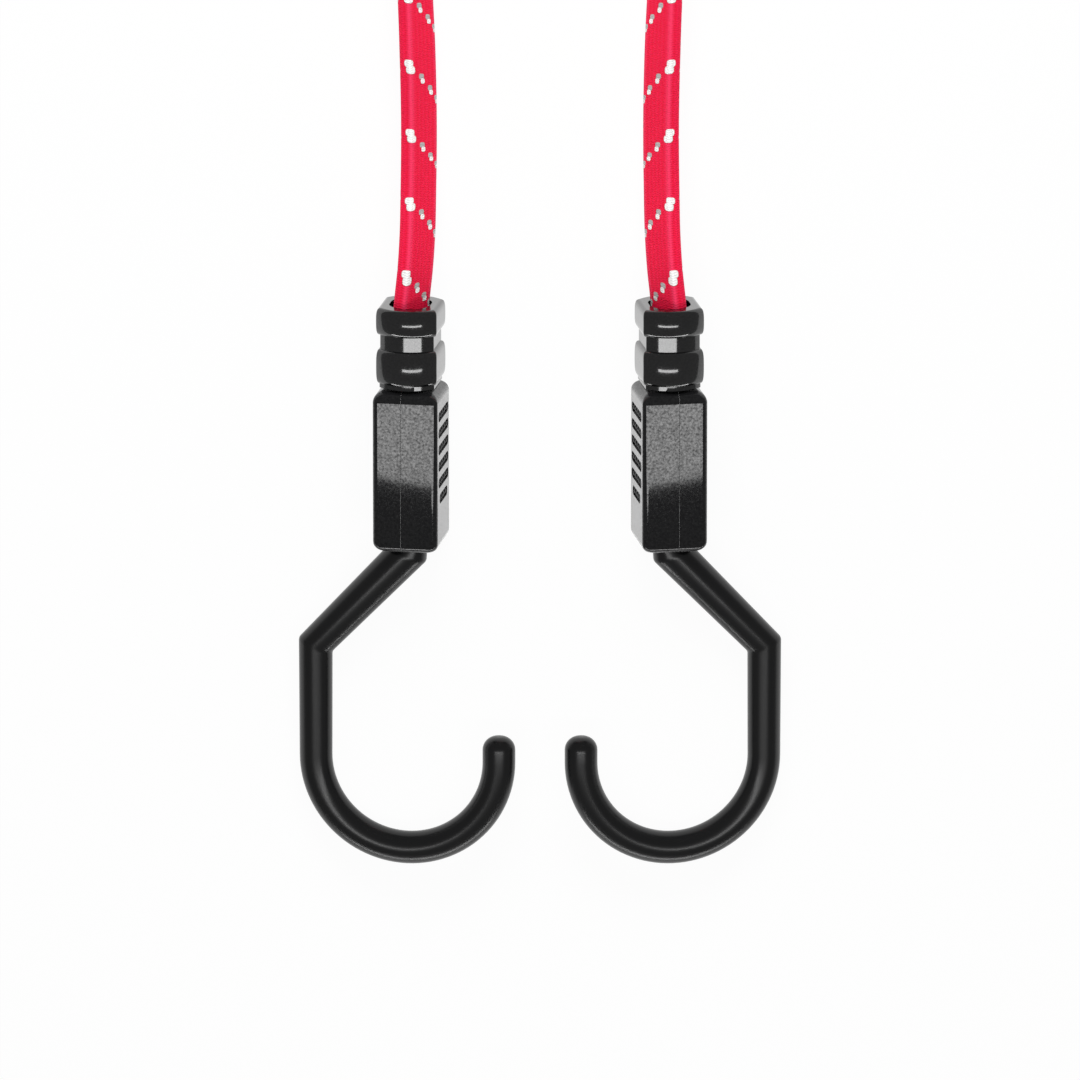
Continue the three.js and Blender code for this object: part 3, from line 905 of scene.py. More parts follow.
@dataclass
class Housing:
    """The moulded grip, a flat-faced box in two halves with a shoulder under the collar.

    The shoulder's shares say how far it has come in at each share of its rise.
    """

    width: float = 16.6
    depth: float = 18.7
    wall: float = 2.0
    corner_radius: float = 1.3
    edge_round: float = 0.22
    foot_radius: float = 2.8
    foot_steps: int = 8
    body_length: float = 38.9
    shoulder_height: float = 2.9
    shoulder_inset: float = 2.35
    shoulder_shares: tuple[tuple[float, float], ...] = (
        (0.12, 0.01), (0.24, 0.04), (0.36, 0.09), (0.48, 0.16), (0.6, 0.26), (0.71, 0.38),
        (0.81, 0.53), (0.9, 0.71), (1.0, 1.0),
    )
    parting: float = -1.0
    parting_gap: float = 0.12
    gap: float = 0.3
    floor: float = 8.7
    cavity_half_depth: float = 6.9
    cavity_round: float = 1.0
    bridge: float = 3.0
    bridge_drop: float = 1.7
    spigot_radius: float = 6.4
    spigot_half_width: float = 5.2
    spigot_height: float = 8.7
    channel: tuple[float, float, float] = (9.0, 11.5, 3.7)
    strap_slot: tuple[float, float, float] = (4.6, 11.4, 0.8)
    jacket_bore: float = 4.45
    jacket_seat: float = 5.0
    wire_bore: float = 2.55
    pocket: tuple[float, float] = (9.6, 2.0)
    slot_count: int = 6
    slot_pitch: float = 4.3
    slot_width: float = 2.5
    slot_end: float = 0.48
    slot_length: float = 13.7
    last_slot_length: float = 10.7
    last_slot_height: float = 13.6

    @property
    def top(self) -> float:
        """The height of the shoulder's top."""
        return self.body_length + self.shoulder_height

    @property
    def spigot_top(self) -> float:
        """The height of the spigot's top."""
        return self.top + self.spigot_height

    @property
    def bridge_start(self) -> float:
        """The height of the bridge's lower face, which stops the crimp."""
        return self.top - self.bridge_drop - self.bridge - self.gap

    def slot_rows(self) -> list[tuple[float, float]]:
        """The slots of a side wall, from the lowest up.

        Returns:
            The middle height and the length of each slot.
        """
        lengths = [self.last_slot_length] + [self.slot_length] * (self.slot_count - 1)
        return [
            (self.last_slot_height + row * self.slot_pitch, length)
            for row, length in enumerate(lengths)
        ]

    def make(self) -> tuple[bpy.types.Object, bpy.types.Object]:
        """Models both halves upright.

        Returns:
            The inner half and the outer half.
        """
        whole = self._shell()
        self._hollow(whole)
        self._cut_slots(whole)
        halves = []
        reach = self.width + self.depth
        for name, sign in (("housing_inner_half", 1), ("housing_outer_half", -1)):
            half = into_scene(name, whole.data.copy())
            face = self.parting + sign * self.parting_gap / 2
            room = block("room", (reach, reach, 4 * reach), (face + sign * reach / 2, 0, 0))
            carve(half, room, Carve.KEEP)
            soften(half, width=self.edge_round, segments=3)
            halves.append(half)
        bpy.data.objects.remove(whole, do_unlink=True)
        return halves[0], halves[1]

    def _shell(self) -> bpy.types.Object:
        """The outer form: a box drawn out to its rounded foot and its shoulder.

        Returns:
            The form, still solid.
        """
        half_width, half_depth = self.width / 2, self.depth / 2
        start, end = self.foot_radius, self.body_length
        shell = block("housing", (self.width, self.depth, end - start), (0, 0, (end + start) / 2))
        foot = []
        for step in range(self.foot_steps + 1):
            angle = step / self.foot_steps * math.pi / 2
            inset = start * (1 - math.cos(angle))
            foot.append(Ring(start * (1 - math.sin(angle)), half_width - inset, half_depth - inset))
        draw_out(shell, foot, upwards=False)
        shoulder = []
        for rise, share in ((0.0, 0.0), *self.shoulder_shares):
            inset = share * self.shoulder_inset
            height = end + rise * self.shoulder_height
            shoulder.append(Ring(height, half_width - inset, half_depth - inset))
        draw_out(shell, shoulder)
        round_edges(shell, runs_up_a_corner, self.corner_radius, segments=6)
        spigot = drum("spigot", self.spigot_radius, self.top - OVER, self.spigot_top, sides=48)
        flatten_sides(spigot, self.spigot_half_width)
        carve(shell, spigot, Carve.JOIN)
        return shell

    def _hollow(self, shell: bpy.types.Object) -> None:
        """Cuts the cavity, the hook's seat and the strap's way.

        Args:
            shell: The outer form.
        """
        bridge_end = self.bridge_start + self.bridge
        cavity_height = self.bridge_start - self.floor
        pocket_width, pocket_depth = self.pocket
        channel_width, channel_depth, channel_radius = self.channel
        slot_width, slot_depth, slot_radius = self.strap_slot
        slot_height = self.bridge + 2 * OVER
        channel_height = self.spigot_top + OVER - bridge_end
        tools = (
            bevelled_block(
                "cavity",
                (self.width - 2 * self.wall, 2 * self.cavity_half_depth, cavity_height),
                (0, 0, self.floor + cavity_height / 2), radius=self.cavity_round, along=2,
                segments=3,
            ),
            drum("jacket_seat", self.jacket_bore, -OVER, self.jacket_seat, sides=40),
            drum("wire_way", self.wire_bore, self.jacket_seat - OVER, self.floor + OVER, sides=24),
            block(
                "head_pocket", (pocket_width, pocket_width, pocket_depth + OVER),
                (0, 0, self.floor + (OVER - pocket_depth) / 2),
            ),
            bevelled_block(
                "strap_slot", (slot_width, slot_depth, slot_height),
                (0, 0, self.bridge_start - OVER + slot_height / 2), radius=slot_radius, along=2,
                segments=4,
            ),
            bevelled_block(
                "strap_channel", (channel_width, channel_depth, channel_height),
                (0, 0, bridge_end + channel_height / 2), radius=channel_radius, along=2,
                segments=8,
            ),
        )
        for tool in tools:
            carve(shell, tool, Carve.CUT)

    def _cut_slots(self, shell: bpy.types.Object) -> None:
        """Cuts the round-ended slots through both side walls.

        Args:
            shell: The hollow form.
        """
        start = self.width / 2 - self.wall - OVER
        end = self.width / 2 + OVER
        for height, length in self.slot_rows():
            for sign in (1, -1):
                carve(shell, bevelled_block(
                    "slot", (end - start, length, self.slot_width),
                    (sign * (start + end) / 2, 0, height), radius=self.slot_end * self.slot_width,
                    along=0, segments=8,
                ), Carve.CUT)


@dataclass
class GripInsert:
    """The soft insert behind a side wall: a plate with a beaded bar in each slot."""

    housing: Housing
    thickness: float = 1.0
    side_play: float = 1.0
    bar_sink: float = 0.6
    play: float = 0.3
    edge_round: float = 0.15
    bead_radius: float = 1.0
    bead_sink: float = 0.4
    bead_pitch: float = 2.45

    def make(self, sign: int) -> bpy.types.Object:
        """Models one insert upright.

        Args:
            sign: 1 for the inner wall's insert and -1 for the outer wall's.

        Returns:
            The insert.
        """
        house = self.housing
        low = house.floor + self.play
        high = house.bridge_start - self.play
        root = house.width / 2 - house.wall - self.play - self.thickness / 2
        bar_top = house.width / 2 - self.bar_sink
        insert = block(
            "grip_insert",
            (self.thickness, 2 * (house.cavity_half_depth - self.side_play), high - low),
            (sign * root, 0, (low + high) / 2),
        )
        beads = []
        for height, length in house.slot_rows():
            bar_width = house.slot_width - 2 * self.play
            bar_length = length - 2 * self.play
            bar = bevelled_block(
                "bar", (bar_top - root, bar_length, bar_width),
                (sign * (root + bar_top) / 2, 0, height), radius=house.slot_end * bar_width,
                along=0, segments=6,
            )
            carve(insert, bar, Carve.JOIN)
            count = math.floor((length - house.slot_width) / self.bead_pitch) + 1
            for row in range(count):
                across = (row - (count - 1) / 2) * self.bead_pitch
                beads.append((sign * (bar_top - self.bead_sink), across, height))
        soften(insert, width=self.edge_round)
        return self._with_beads(insert, beads)

    def _with_beads(self, insert: bpy.types.Object, places: Sequence[Point]) -> bpy.types.Object:
        """Sets a bead on the bars at each place.

        Args:
            insert: The plate with its bars.
            places: The beads' middles.

        Returns:
            The insert with its beads, as one object.
        """
        deselect_all()
        bpy.ops.mesh.primitive_uv_sphere_add(segments=12, ring_count=8, radius=self.bead_radius)
        bead = started("bead")
        bpy.ops.object.shade_smooth()
        copies = []
        for place in places:
            one = into_scene("bead", bead.data.copy())
            one.data.transform(Matrix.Translation(place))
            copies.append(one)
        bpy.data.objects.remove(bead, do_unlink=True)
        hold(insert)
        for one in copies:
            one.select_set(True)
        bpy.ops.object.join()
        return insert


@dataclass
class Collar:
    """The glossy collar pushed over the spigot: a low skirt, two crowned ribs with a neck between
    them, and flats at the sides.

    The pairs are a half width and a half depth. The skirt's third number is its height. The mouth
    is a width, a depth and a corner radius, and the socket a radius, a half width and its top.
    """

    start: float = 42.1
    length: float = 20.8
    sides: int = 96
    foot_rise: float = 0.2
    skirt: tuple[float, float, float] = (7.0, 8.7, 1.3)
    lower_rib: float = 10.1
    neck_length: float = 3.7
    rib: tuple[float, float] = (7.75, 9.0)
    neck: tuple[float, float] = (6.85, 8.25)
    end: tuple[float, float] = (6.45, 8.5)
    squareness: float = 5.0
    fullness: float = 0.42
    crown: float = 0.9
    rib_steps: int = 12
    corner_angle: float = 20.0
    corner_round: float = 0.35
    edge_round: float = 0.3
    mouth: tuple[float, float, float] = (10.4, 11.8, 4.8)
    socket: tuple[float, float, float] = (6.7, 5.5, 50.8)

    @property
    def top(self) -> float:
        """The height of the collar's mouth."""
        return self.start + self.length

    def make(self) -> bpy.types.Object:
        """Models the collar upright.

        Returns:
            The collar.
        """
        rings = self._rings()
        collar = disc("collar", rings[0].half_depth, rings[0].height, self.sides)
        flatten_sides(collar, rings[0].half_width)
        draw_out(collar, rings)
        face_outwards(collar)
        round_edges(collar, self._is_flat_edge, self.corner_round, segments=4)
        socket_radius, socket_half_width, socket_top = self.socket
        socket = drum("socket", socket_radius, self.start - OVER, socket_top, sides=48)
        flatten_sides(socket, socket_half_width)
        carve(collar, socket, Carve.CUT)
        width, depth, radius = self.mouth
        height = self.top + 2 * OVER - socket_top
        mouth = bevelled_block(
            "mouth", (width, depth, height), (0, 0, self.top + OVER - height / 2), radius=radius,
            along=2, segments=12,
        )
        carve(collar, mouth, Carve.CUT)
        soften(collar, width=self.edge_round, segments=3, sharper_than=50)
        return collar

    def _rings(self) -> list[Ring]:
        """The collar's levels from its lower end to its mouth.

        Returns:
            The levels.
        """
        neck_start = self.start + self.lower_rib
        neck_end = neck_start + self.neck_length
        skirt, skirt_height = self.skirt[:2], self.skirt[2]
        rings = [Ring(self.start, *self.end), Ring(self.start + self.foot_rise, *skirt)]
        rings += self._rib(self.start + skirt_height, neck_start, skirt, self.neck)
        rings += self._rib(neck_end, self.top, self.neck, self.end)
        return rings

    def _rib(
        self, low: float, high: float, below: tuple[float, float], above: tuple[float, float]
    ) -> list[Ring]:
        """One rib's levels, on a single curve from foot to head, so that it mirrors a lamp once.

        Args:
            low: The height of its foot.
            high: The height of its head.
            below: The half width and half depth of what it stands on.
            above: The half width and half depth of what it ends in.

        Returns:
            The rib's levels.
        """
        width, depth = self.rib
        middle, half = (low + high) / 2, (high - low) / 2
        rings = []
        for step in range(-self.rib_steps, self.rib_steps + 1):
            share = math.sin(step / self.rib_steps * math.pi / 2)
            inner = above if step > 0 else below
            full = max(1 - abs(share) ** self.squareness, 0) ** self.fullness
            rings.append(Ring(
                middle + share * half,
                inner[0] + (width - inner[0]) * full,
                inner[1] + (depth - inner[1]) * full + self.crown * (1 - share ** 2),
            ))
        return rings

    def _is_flat_edge(self, edge: Any) -> bool:
        """Whether an edge runs up a corner between a flat and the round.

        Args:
            edge: The edge.

        Returns:
            Whether it does.
        """
        return (
            runs_up_a_corner(edge) and len(edge.link_faces) == 2
            and edge.calc_face_angle() > math.radians(self.corner_angle)
            and max(abs(face.normal.x) for face in edge.link_faces) > FACING
        )


@dataclass(frozen=True)
class RodEnd:
    """The free end of a rod that is being drawn out: its middle, its half sizes and its lean."""

    x: float
    z: float
    half_width: float
    half_depth: float
    lean: float = 0.0


@dataclass
class HookJacket:
    """The hook's coating: an arm between two crisp mitres, a shank, a bend and a domed tip."""

    radius: float = 4.15
    bore: float = 2.55
    bore_depth: float = 3.0
    seat: float = 4.7
    drop: float = 0.35
    stub: float = 0.94
    arm_out: float = 24.55
    arm_down: float = 26.0
    arm_root: RodEnd = RodEnd(-1.1, -2.2, 5.3, 4.6, 19.3)
    shank: float = 28.76
    bend_radius: float = 23.5
    bend_steps: int = 56
    tip: float = 6.7
    tip_rounding: float = 3.5
    tip_steps: int = 9
    mitre_round: float = 0.55
    mitre_angle: float = 1.5
    mitre_slope: float = 0.6
    mitre_reach: float = 1.1
    smooth_angle: float = 30.0
    sides: int = 48

    @property
    def arm_foot(self) -> RodEnd:
        """The mitre between the arm and the shank."""
        return RodEnd(-self.arm_out, -self.stub - self.arm_down, 4.61, 4.2, 22.1)

    @property
    def bend_start(self) -> RodEnd:
        """The shank's end, where the bend starts."""
        return RodEnd(-self.arm_out, self.arm_foot.z - self.shank, self.radius, self.radius)

    def make(self) -> bpy.types.Object:
        """Models the hook's coating upright.

        Returns:
            The jacket.
        """
        jacket = disc("hook_jacket", self.radius, self.seat, self.sides)
        bend = self.bend_start
        ends = (
            RodEnd(0, self.seat, self.radius, self.radius),
            RodEnd(0, -self.drop, self.radius, self.radius),
            self.arm_root, self.arm_foot, bend,
        )
        with editing(jacket):
            bpy.ops.mesh.select_all(action="SELECT")
            for now, then in zip(ends, ends[1:]):
                self._draw(now, then)
            bpy.ops.mesh.spin(
                steps=self.bend_steps, angle=math.pi, center=(bend.x + self.bend_radius, 0, bend.z),
                axis=(0, 1, 0),
            )
            self._dome()
            bpy.ops.mesh.select_all(action="SELECT")
            bpy.ops.mesh.remove_doubles(threshold=0.001)
            bpy.ops.mesh.normals_make_consistent(inside=False)
        round_edges(jacket, self._is_mitre, self.mitre_round, segments=3)
        wire_way = drum(
            "wire_way", self.bore, self.seat - self.bore_depth, self.seat + OVER, sides=24
        )
        carve(jacket, wire_way, Carve.CUT)
        hold(jacket)
        bpy.ops.object.shade_smooth_by_angle(angle=math.radians(self.smooth_angle))
        return jacket

    def _extrude(self, across: float, up: float) -> None:
        """Extrudes the selected end of the rod."""
        bpy.ops.mesh.extrude_region_move(TRANSFORM_OT_translate={"value": (across, 0, up)})

    def _draw(self, now: RodEnd, then: RodEnd) -> None:
        """Draws the rod's end out to its next place, and gives it its size and lean there.

        Args:
            now: The end as it is.
            then: The end as it gets.
        """
        centre = (then.x, 0, then.z)
        self._extrude(then.x - now.x, then.z - now.z)
        if now.lean:
            bpy.ops.transform.rotate(
                value=math.radians(now.lean), orient_axis="Y", center_override=centre
            )
        bpy.ops.transform.resize(
            value=(then.half_width / now.half_width, then.half_depth / now.half_depth, 1),
            center_override=centre,
        )
        if then.lean:
            bpy.ops.transform.rotate(
                value=-math.radians(then.lean), orient_axis="Y", center_override=centre
            )

    def _dome(self) -> None:
        """Draws the tip out and rounds it over."""
        straight = self.tip - self.tip_rounding
        x = self.bend_start.x + 2 * self.bend_radius
        start = self.bend_start.z + straight
        self._extrude(0, straight)
        size, done = self.radius, 0.0
        for step in range(1, self.tip_steps + 1):
            angle = step / self.tip_steps * math.pi / 2
            rise = self.tip_rounding * math.sin(angle)
            next_size = self.radius - self.tip_rounding * (1 - math.cos(angle))
            self._extrude(0, rise - done)
            bpy.ops.transform.resize(
                value=(next_size / size, next_size / size, 1), center_override=(x, 0, start + rise)
            )
            size, done = next_size, rise

    def _is_mitre(self, edge: Any) -> bool:
        """Whether an edge belongs to one of the two mitres.

        Args:
            edge: The edge.

        Returns:
            Whether it does.
        """
        if len(edge.link_faces) != 2 or edge.calc_face_angle() < math.radians(self.mitre_angle):
            return False
        a, b = (vertex.co for vertex in edge.verts)
        middle = (a + b) / 2
        return abs((a - b).normalized().z) < self.mitre_slope and any(
            math.hypot(middle.x - mitre.x, middle.z - mitre.z) < mitre.half_width * self.mitre_reach
            for mitre in (self.arm_root, self.arm_foot)
        )


@dataclass
class End:
    """One kind of end, made once on the bench and laid on both sides."""

    place: EndPlace
    housing: Housing
    collar: Collar
    jacket: HookJacket
    insert: GripInsert

    def make(self) -> list[bpy.types.Object]:
        """Makes the pieces that show and lays a copy of each at both ends.

        Returns:
            The laid pieces.
        """
        inner, outer = self.housing.make()
        bench = (
            (inner, "housing_inner_half", HOUSING_ABS, "housing_plastic"),
            (outer, "housing_outer_half", HOUSING_ABS, "housing_plastic"),
            (self.collar.make(), "collar", COLLAR_TPE, "collar_plastic"),
            (self.jacket.make(), "hook_jacket", HOOK_NYLON, "hook_coating"),
            (self.insert.make(1), "grip_insert_inner", GRIP_RUBBER, "grip_rubber"),
            (self.insert.make(-1), "grip_insert_outer", GRIP_RUBBER, "grip_rubber"),
        )
        finishes = (HOUSING_ABS, COLLAR_TPE, HOOK_NYLON, GRIP_RUBBER)
        materials = {finish: finish.make() for finish in finishes}
        laid = []
        for piece, node, finish, slot in bench:
            piece.data.materials.clear()
            piece.data.materials.append(materials[finish])
            for side in Side:
                one = into_scene(f"{side.word}_{node}_finished", piece.data.copy())
                self.place.lay(one, side)
                if node != "hook_jacket":
                    even_normals(one)
                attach(one, f"{side.word}_end")
                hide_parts(f"{side.word}_{node}")
                laid.append(one)
            bpy.data.objects.remove(piece, do_unlink=True)
        return laid


# The strap


@dataclass
class Strap:
    """The woven strap: its free run in two halves that meet in the turn, and its ends in the grips.

    The route's points repeat the frame's, in metres: X, Y and Z of the strap's middle, and the turn
    of its wide way from the horizontal, in degrees, for the left half. The exit and the ends of the
    stretch between the bodies are given for the right half, in metres.
    """

    place: EndPlace
    width: float = 10.6
    thickness: float = 3.8
    corner: float = 0.8
    corner_steps: int = 5
    face_steps: int = 6
    repeat: float = 18.12
    first_float: float = 9.3
    route: tuple[tuple[float, float, float, float], ...] = (
        (-0.0325, 0.07065, 0.01238, 51), (-0.0321, 0.075, 0.01255, 51),
        (-0.0314, 0.0815, 0.012, 51), (-0.0308, 0.0905, 0.0099, 51),
        (-0.03055, 0.1015, 0.0071, 51), (-0.0304, 0.1165, 0.00525, 51),
        (-0.03075, 0.1367, 0.00515, 51), (-0.0313, 0.1507, 0.0052, 53),
        (-0.03155, 0.1557, 0.00527, 57), (-0.0317, 0.1607, 0.00537, 62),
        (-0.03185, 0.1657, 0.00547, 68), (-0.0319, 0.1707, 0.00552, 74),
        (-0.0318, 0.1757, 0.00552, 79), (-0.0316, 0.1807, 0.00548, 84),
        (-0.03015, 0.1902, 0.0054, 90), (-0.0263, 0.1991, 0.0054, 90),
        (-0.0194, 0.2066, 0.0054, 90), (-0.01025, 0.2115, 0.0054, 90), (0, 0.2132, 0.0054, 90),
    )
    steps: int = 8
    exit: Point = (0.0325, 0.0727, 0.0124)
    stretch_start: Point = (0.0325, 0.075, 0.0125)
    stretch_end: Point = (0.0315, 0.1857, 0.0055)
    flatter: float = 0.33
    flatter_until: tuple[float, float] = (30.0, 50.0)
    flatter_fade: float = 1.7
    tail: tuple[float, float] = (25.8, 60.0)
    tail_steps: int = 36
    bridge_end: float = 39.8

    @property
    def wide_turn(self) -> float:
        """The length round the section across a wide face, from one corner's middle to the next."""
        return self.width - 2 * self.corner + math.pi * self.corner / 2

    @property
    def half_round(self) -> float:
        """Half the length round the section."""
        return self.width + self.thickness - 4 * self.corner + math.pi * self.corner

    def make(self) -> list[bpy.types.Object]:
        """Makes the strap's free halves and its ends in the grips.

        Returns:
            The pieces.
        """
        material = WovenStrap().make()
        free = self._free_sections()
        pieces = []
        for side in Side:
            run = self._sheath(f"strap_{side.word}_half", free, side, material)
            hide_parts("strap_sheath", "strap_strand_1", "strap_strand_2", "strap_strand_3")
            side.at(self.stretch_start)
            side.at(self.stretch_end)
            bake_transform(run)
            side.at(self.exit) if side is Side.LEFT else self.route[-1][:3]
            name = f"{side.word}_strap_end_sheath"
            tail = self._sheath(f"{name}_finished", self._tail_sections(), side, material)
            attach(tail, f"{side.word}_end")
            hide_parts(name)
            pieces += [run, tail]
        return pieces

    def _sheath(
        self, name: str, sections: Sequence[Section], side: Side, material: bpy.types.Material
    ) -> bpy.types.Object:
        """One length of sheath with its finish, mirrored for the right side.

        Args:
            name: The object's name.
            sections: The left side's sections.
            side: Which side it is for.
            material: Its finish.

        Returns:
            The sheath.
        """
        piece = self._tube(name, sections)
        if side is Side.RIGHT:
            piece.data.transform(Matrix.Diagonal((-1, 1, 1, 1)))
            piece.data.flip_normals()
        piece.data.materials.append(material)
        hold(piece)
        bpy.ops.object.shade_smooth()
        return piece

    def _free_sections(self) -> list[Section]:
        """The left free half's sections.

        Returns:
            The sections, from the mouth to the turn.
        """
        points = [Vector(row[:3]) for row in self.route]
        turns = [row[3] for row in self.route]
        past_turn = Vector((-points[-2].x, points[-2].y, points[-2].z))
        run = [2 * points[0] - points[1], *points, past_turn]
        places, angles = [], []
        for i, (now, then) in enumerate(zip(turns, turns[1:])):
            for step in range(self.steps):
                t = step / self.steps
                places.append(self._between(*run[i:i + 4], t))
                angles.append(now + (then - now) * t)
        places.append(points[-1])
        angles.append(turns[-1])
        ways = [(b - a).normalized() for a, b in zip([places[0], *places], places[1:])]
        ways.append(Vector((1, 0, 0)))
        return [self._section(*row) for row in zip(places, ways, angles)]

    @staticmethod
    def _slope(before: Vector, at: Vector, after: Vector) -> Vector:
        """A curve's way through a point, from its two neighbours, whose spacing may differ."""
        behind, ahead = (at - before).length, (after - at).length
        return ((after - at) / ahead * behind + (at - before) / behind * ahead) / (ahead + behind)

    def _between(self, before: Vector, a: Vector, b: Vector, after: Vector, t: float) -> Vector:
        """A point on the smooth curve between two points.

        Args:
            before: The point before them.
            a: The first point.
            b: The second point.
            after: The point after them.
            t: The share of the way from the first to the second.

        Returns:
            The point.
        """
        span = (b - a).length
        m0 = self._slope(before, a, b) * span
        m1 = self._slope(a, b, after) * span
        return (
            (2 * t ** 3 - 3 * t ** 2 + 1) * a + (t ** 3 - 2 * t ** 2 + t) * m0
            + (-2 * t ** 3 + 3 * t ** 2) * b + (t ** 3 - t ** 2) * m1
        )

    @staticmethod
    def _section(at: Vector, travel: Vector, turn: float) -> Section:
        """One section of the strap, turned about its own way.

        Args:
            at: Its middle.
            travel: The way that the strap runs there.
            turn: How far its wide way is turned from the horizontal, in degrees.

        Returns:
            The section.
        """
        inner = travel.cross(Vector((0, 0, 1))).normalized()
        over = inner.cross(travel).normalized()
        angle = math.radians(turn)
        face = inner * math.sin(angle) + over * math.cos(angle)
        wide = inner * math.cos(angle) - over * math.sin(angle)
        return at, face, wide

    def _tail_sections(self) -> list[Section]:
        """The strap's end in the left grip, square in the crimp and turned above it.

        Returns:
            The sections, from the crimp to the mouth.
        """
        matrix = self.place.matrix(Side.LEFT)
        turned = matrix.to_3x3()
        low, high = self.tail
        mouth_turn = self.route[0][3] + self.place.roll
        sections = []
        for step in range(self.tail_steps + 1):
            height = low + (high - low) * step / self.tail_steps
            share = min(max((height - self.bridge_end) / (high - self.bridge_end), 0), 1)
            angle = math.radians(90 + (mouth_turn - 90) * share)
            face = Vector((math.sin(angle), -math.cos(angle), 0))
            wide = Vector((math.cos(angle), math.sin(angle), 0))
            middle = matrix @ Vector((0, 0, height))
            sections.append((middle, (turned @ face).normalized(), (turned @ wide).normalized()))
        return sections

    def _outline(self) -> list[tuple[float, float, float, float]]:
        """The points round a section.

        Returns:
            For each point its place across the thickness and along the width, its length round the
            section and the tracer's rise there.
        """
        r = self.corner
        points = []
        for sign_t, sign_w, start in ((1, 1, 0), (-1, 1, 90), (-1, -1, 180), (1, -1, 270)):
            for step in range(self.corner_steps + 1):
                angle = math.radians(start + 90 * step / self.corner_steps)
                points.append((
                    sign_t * (self.thickness / 2 - r) + r * math.cos(angle),
                    sign_w * (self.width / 2 - r) + r * math.sin(angle),
                ))
        filled = []
        for a, b in zip(points, points[1:] + points[:1]):
            gap = math.dist(a, b)
            count = self.face_steps if gap > self.width / 2 else 2 if gap > r else 1
            for step in range(count):
                share = step / count
                filled.append((a[0] + (b[0] - a[0]) * share, a[1] + (b[1] - a[1]) * share))
        return [(t, w, *self._maps(t, -w)) for t, w in filled]

    def _maps(self, t: float, w: float) -> tuple[float, float]:
        """Where a point of the section lies on the two maps.

        Args:
            t: The point's place across the thickness.
            w: The point's place along the width.

        Returns:
            The length round the section from the near front corner, and how far the tracer has run
            along the strap there.
        """
        if t < 0:
            place, rise = self._maps(-t, -w)
            return place + self.half_round, rise + self.repeat / 2
        arc = math.pi * self.corner / 2
        flat = self.width / 2 - self.corner
        beyond = abs(w) - flat
        if beyond <= 0:
            place = arc / 2 + flat - w
        else:
            depth = t - (self.thickness / 2 - self.corner)
            past = math.atan2(beyond, depth) * self.corner if depth > 0 else arc - depth
            place = self.wide_turn - arc / 2 + past if w < 0 else arc / 2 - past
        return place, self.repeat / 2 * min(max(place / self.wide_turn, 0), 1)

    def _tube(self, name: str, sections: Sequence[Section]) -> bpy.types.Object:
        """The sheath along its sections, closed at both ends, with its two maps.

        Args:
            name: The object's name.
            sections: The sections.

        Returns:
            The sheath.
        """
        outline = self._outline()
        count = len(outline)
        last = (len(sections) - 1) * count
        places, along = [], []
        run = 0.0
        for i, (at, face, wide) in enumerate(sections):
            run += (at - sections[i - 1][0]).length / MM if i else 0.0
            along.append(run)
            places += [at + face * (t * MM) + wide * (w * MM) for t, w, _, _ in outline]
        faces = []
        for ring in range(0, last, count):
            for side in range(count):
                a, b = ring + side, ring + (side + 1) % count
                faces.append((a, b, b + count, a + count))
        faces += [tuple(reversed(range(count))), tuple(range(last, last + count))]
        mesh = bpy.data.meshes.new(name)
        mesh.from_pydata(places, [], faces)
        weave = mesh.uv_layers.new(name="weave")
        tracer = mesh.uv_layers.new(name="tracer")
        for polygon in mesh.polygons:
            spots = [outline[mesh.loops[i].vertex_index % count] for i in polygon.loop_indices]
            furthest = max(spot[2] for spot in spots)
            for loop, (_, _, place, rise) in zip(polygon.loop_indices, spots):
                run = along[mesh.loops[loop].vertex_index // count]
                lag = self._lag(place, run)
                if furthest - place > self.half_round:
                    place += 2 * self.half_round
                    rise += self.repeat
                weave.data[loop].uv = (place, run)
                tracer.data[loop].uv = (place, run + rise - lag - self.first_float)
        piece = into_scene(name, mesh)
        face_outwards(piece)
        return piece

    def _lag(self, place: float, run: float) -> float:
        """How far the tracer lags behind its even slant where the pulled strap leaves the collar.

        Args:
            place: The length round the section.
            run: The length along the strap.

        Returns:
            The lag, in millimetres.
        """
        corner = self.half_round / 8
        place = (place + corner) % self.half_round - corner
        reach = max(place, 0)
        if place > self.wide_turn:
            reach = self.wide_turn * max(1 - (place - self.wide_turn) / self.flatter_fade, 0)
        start, end = self.flatter_until
        return self.flatter * reach * min(max((end - run) / (end - start), 0), 1)


# Hidden pieces that stay as the frame has them


def dress_hidden_nodes(nodes: dict[str, bpy.types.Object]) -> None:
    """Gives the frame's own inner pieces their finishes.

    Args:
        nodes: The frame's nodes by name.
    """
    finishes = {"hook_core": CORE_STEEL, "strap_crimp": CRIMP_STEEL, "strand": LatexRubber()}
    for word, finish in finishes.items():
        material = finish.make()
        for name, piece in nodes.items():
            if word in name:
                piece.data.materials.clear()
                piece.data.materials.append(material)


# The studio


@dataclass(frozen=True)
class Panel:
    """A rectangular soft lamp: its size, its place, the point that it faces and its watts."""

    name: str
    size: tuple[float, float]
    place: Point
    aim: Point
    power: float
    mirrored: bool = True

    def hang(self) -> None:
        """Hangs the lamp in the scene."""
        data = bpy.data.lights.new(self.name, "AREA")
        data.shape = "RECTANGLE"
        data.size, data.size_y = self.size
        data.energy = self.power
        lamp = into_scene(self.name, data)
        lamp.location = self.place
        back = Vector(self.place) - Vector(self.aim)
        lamp.rotation_euler = back.to_track_quat("Z", "Y").to_euler()
        lamp.visible_glossy = self.mirrored


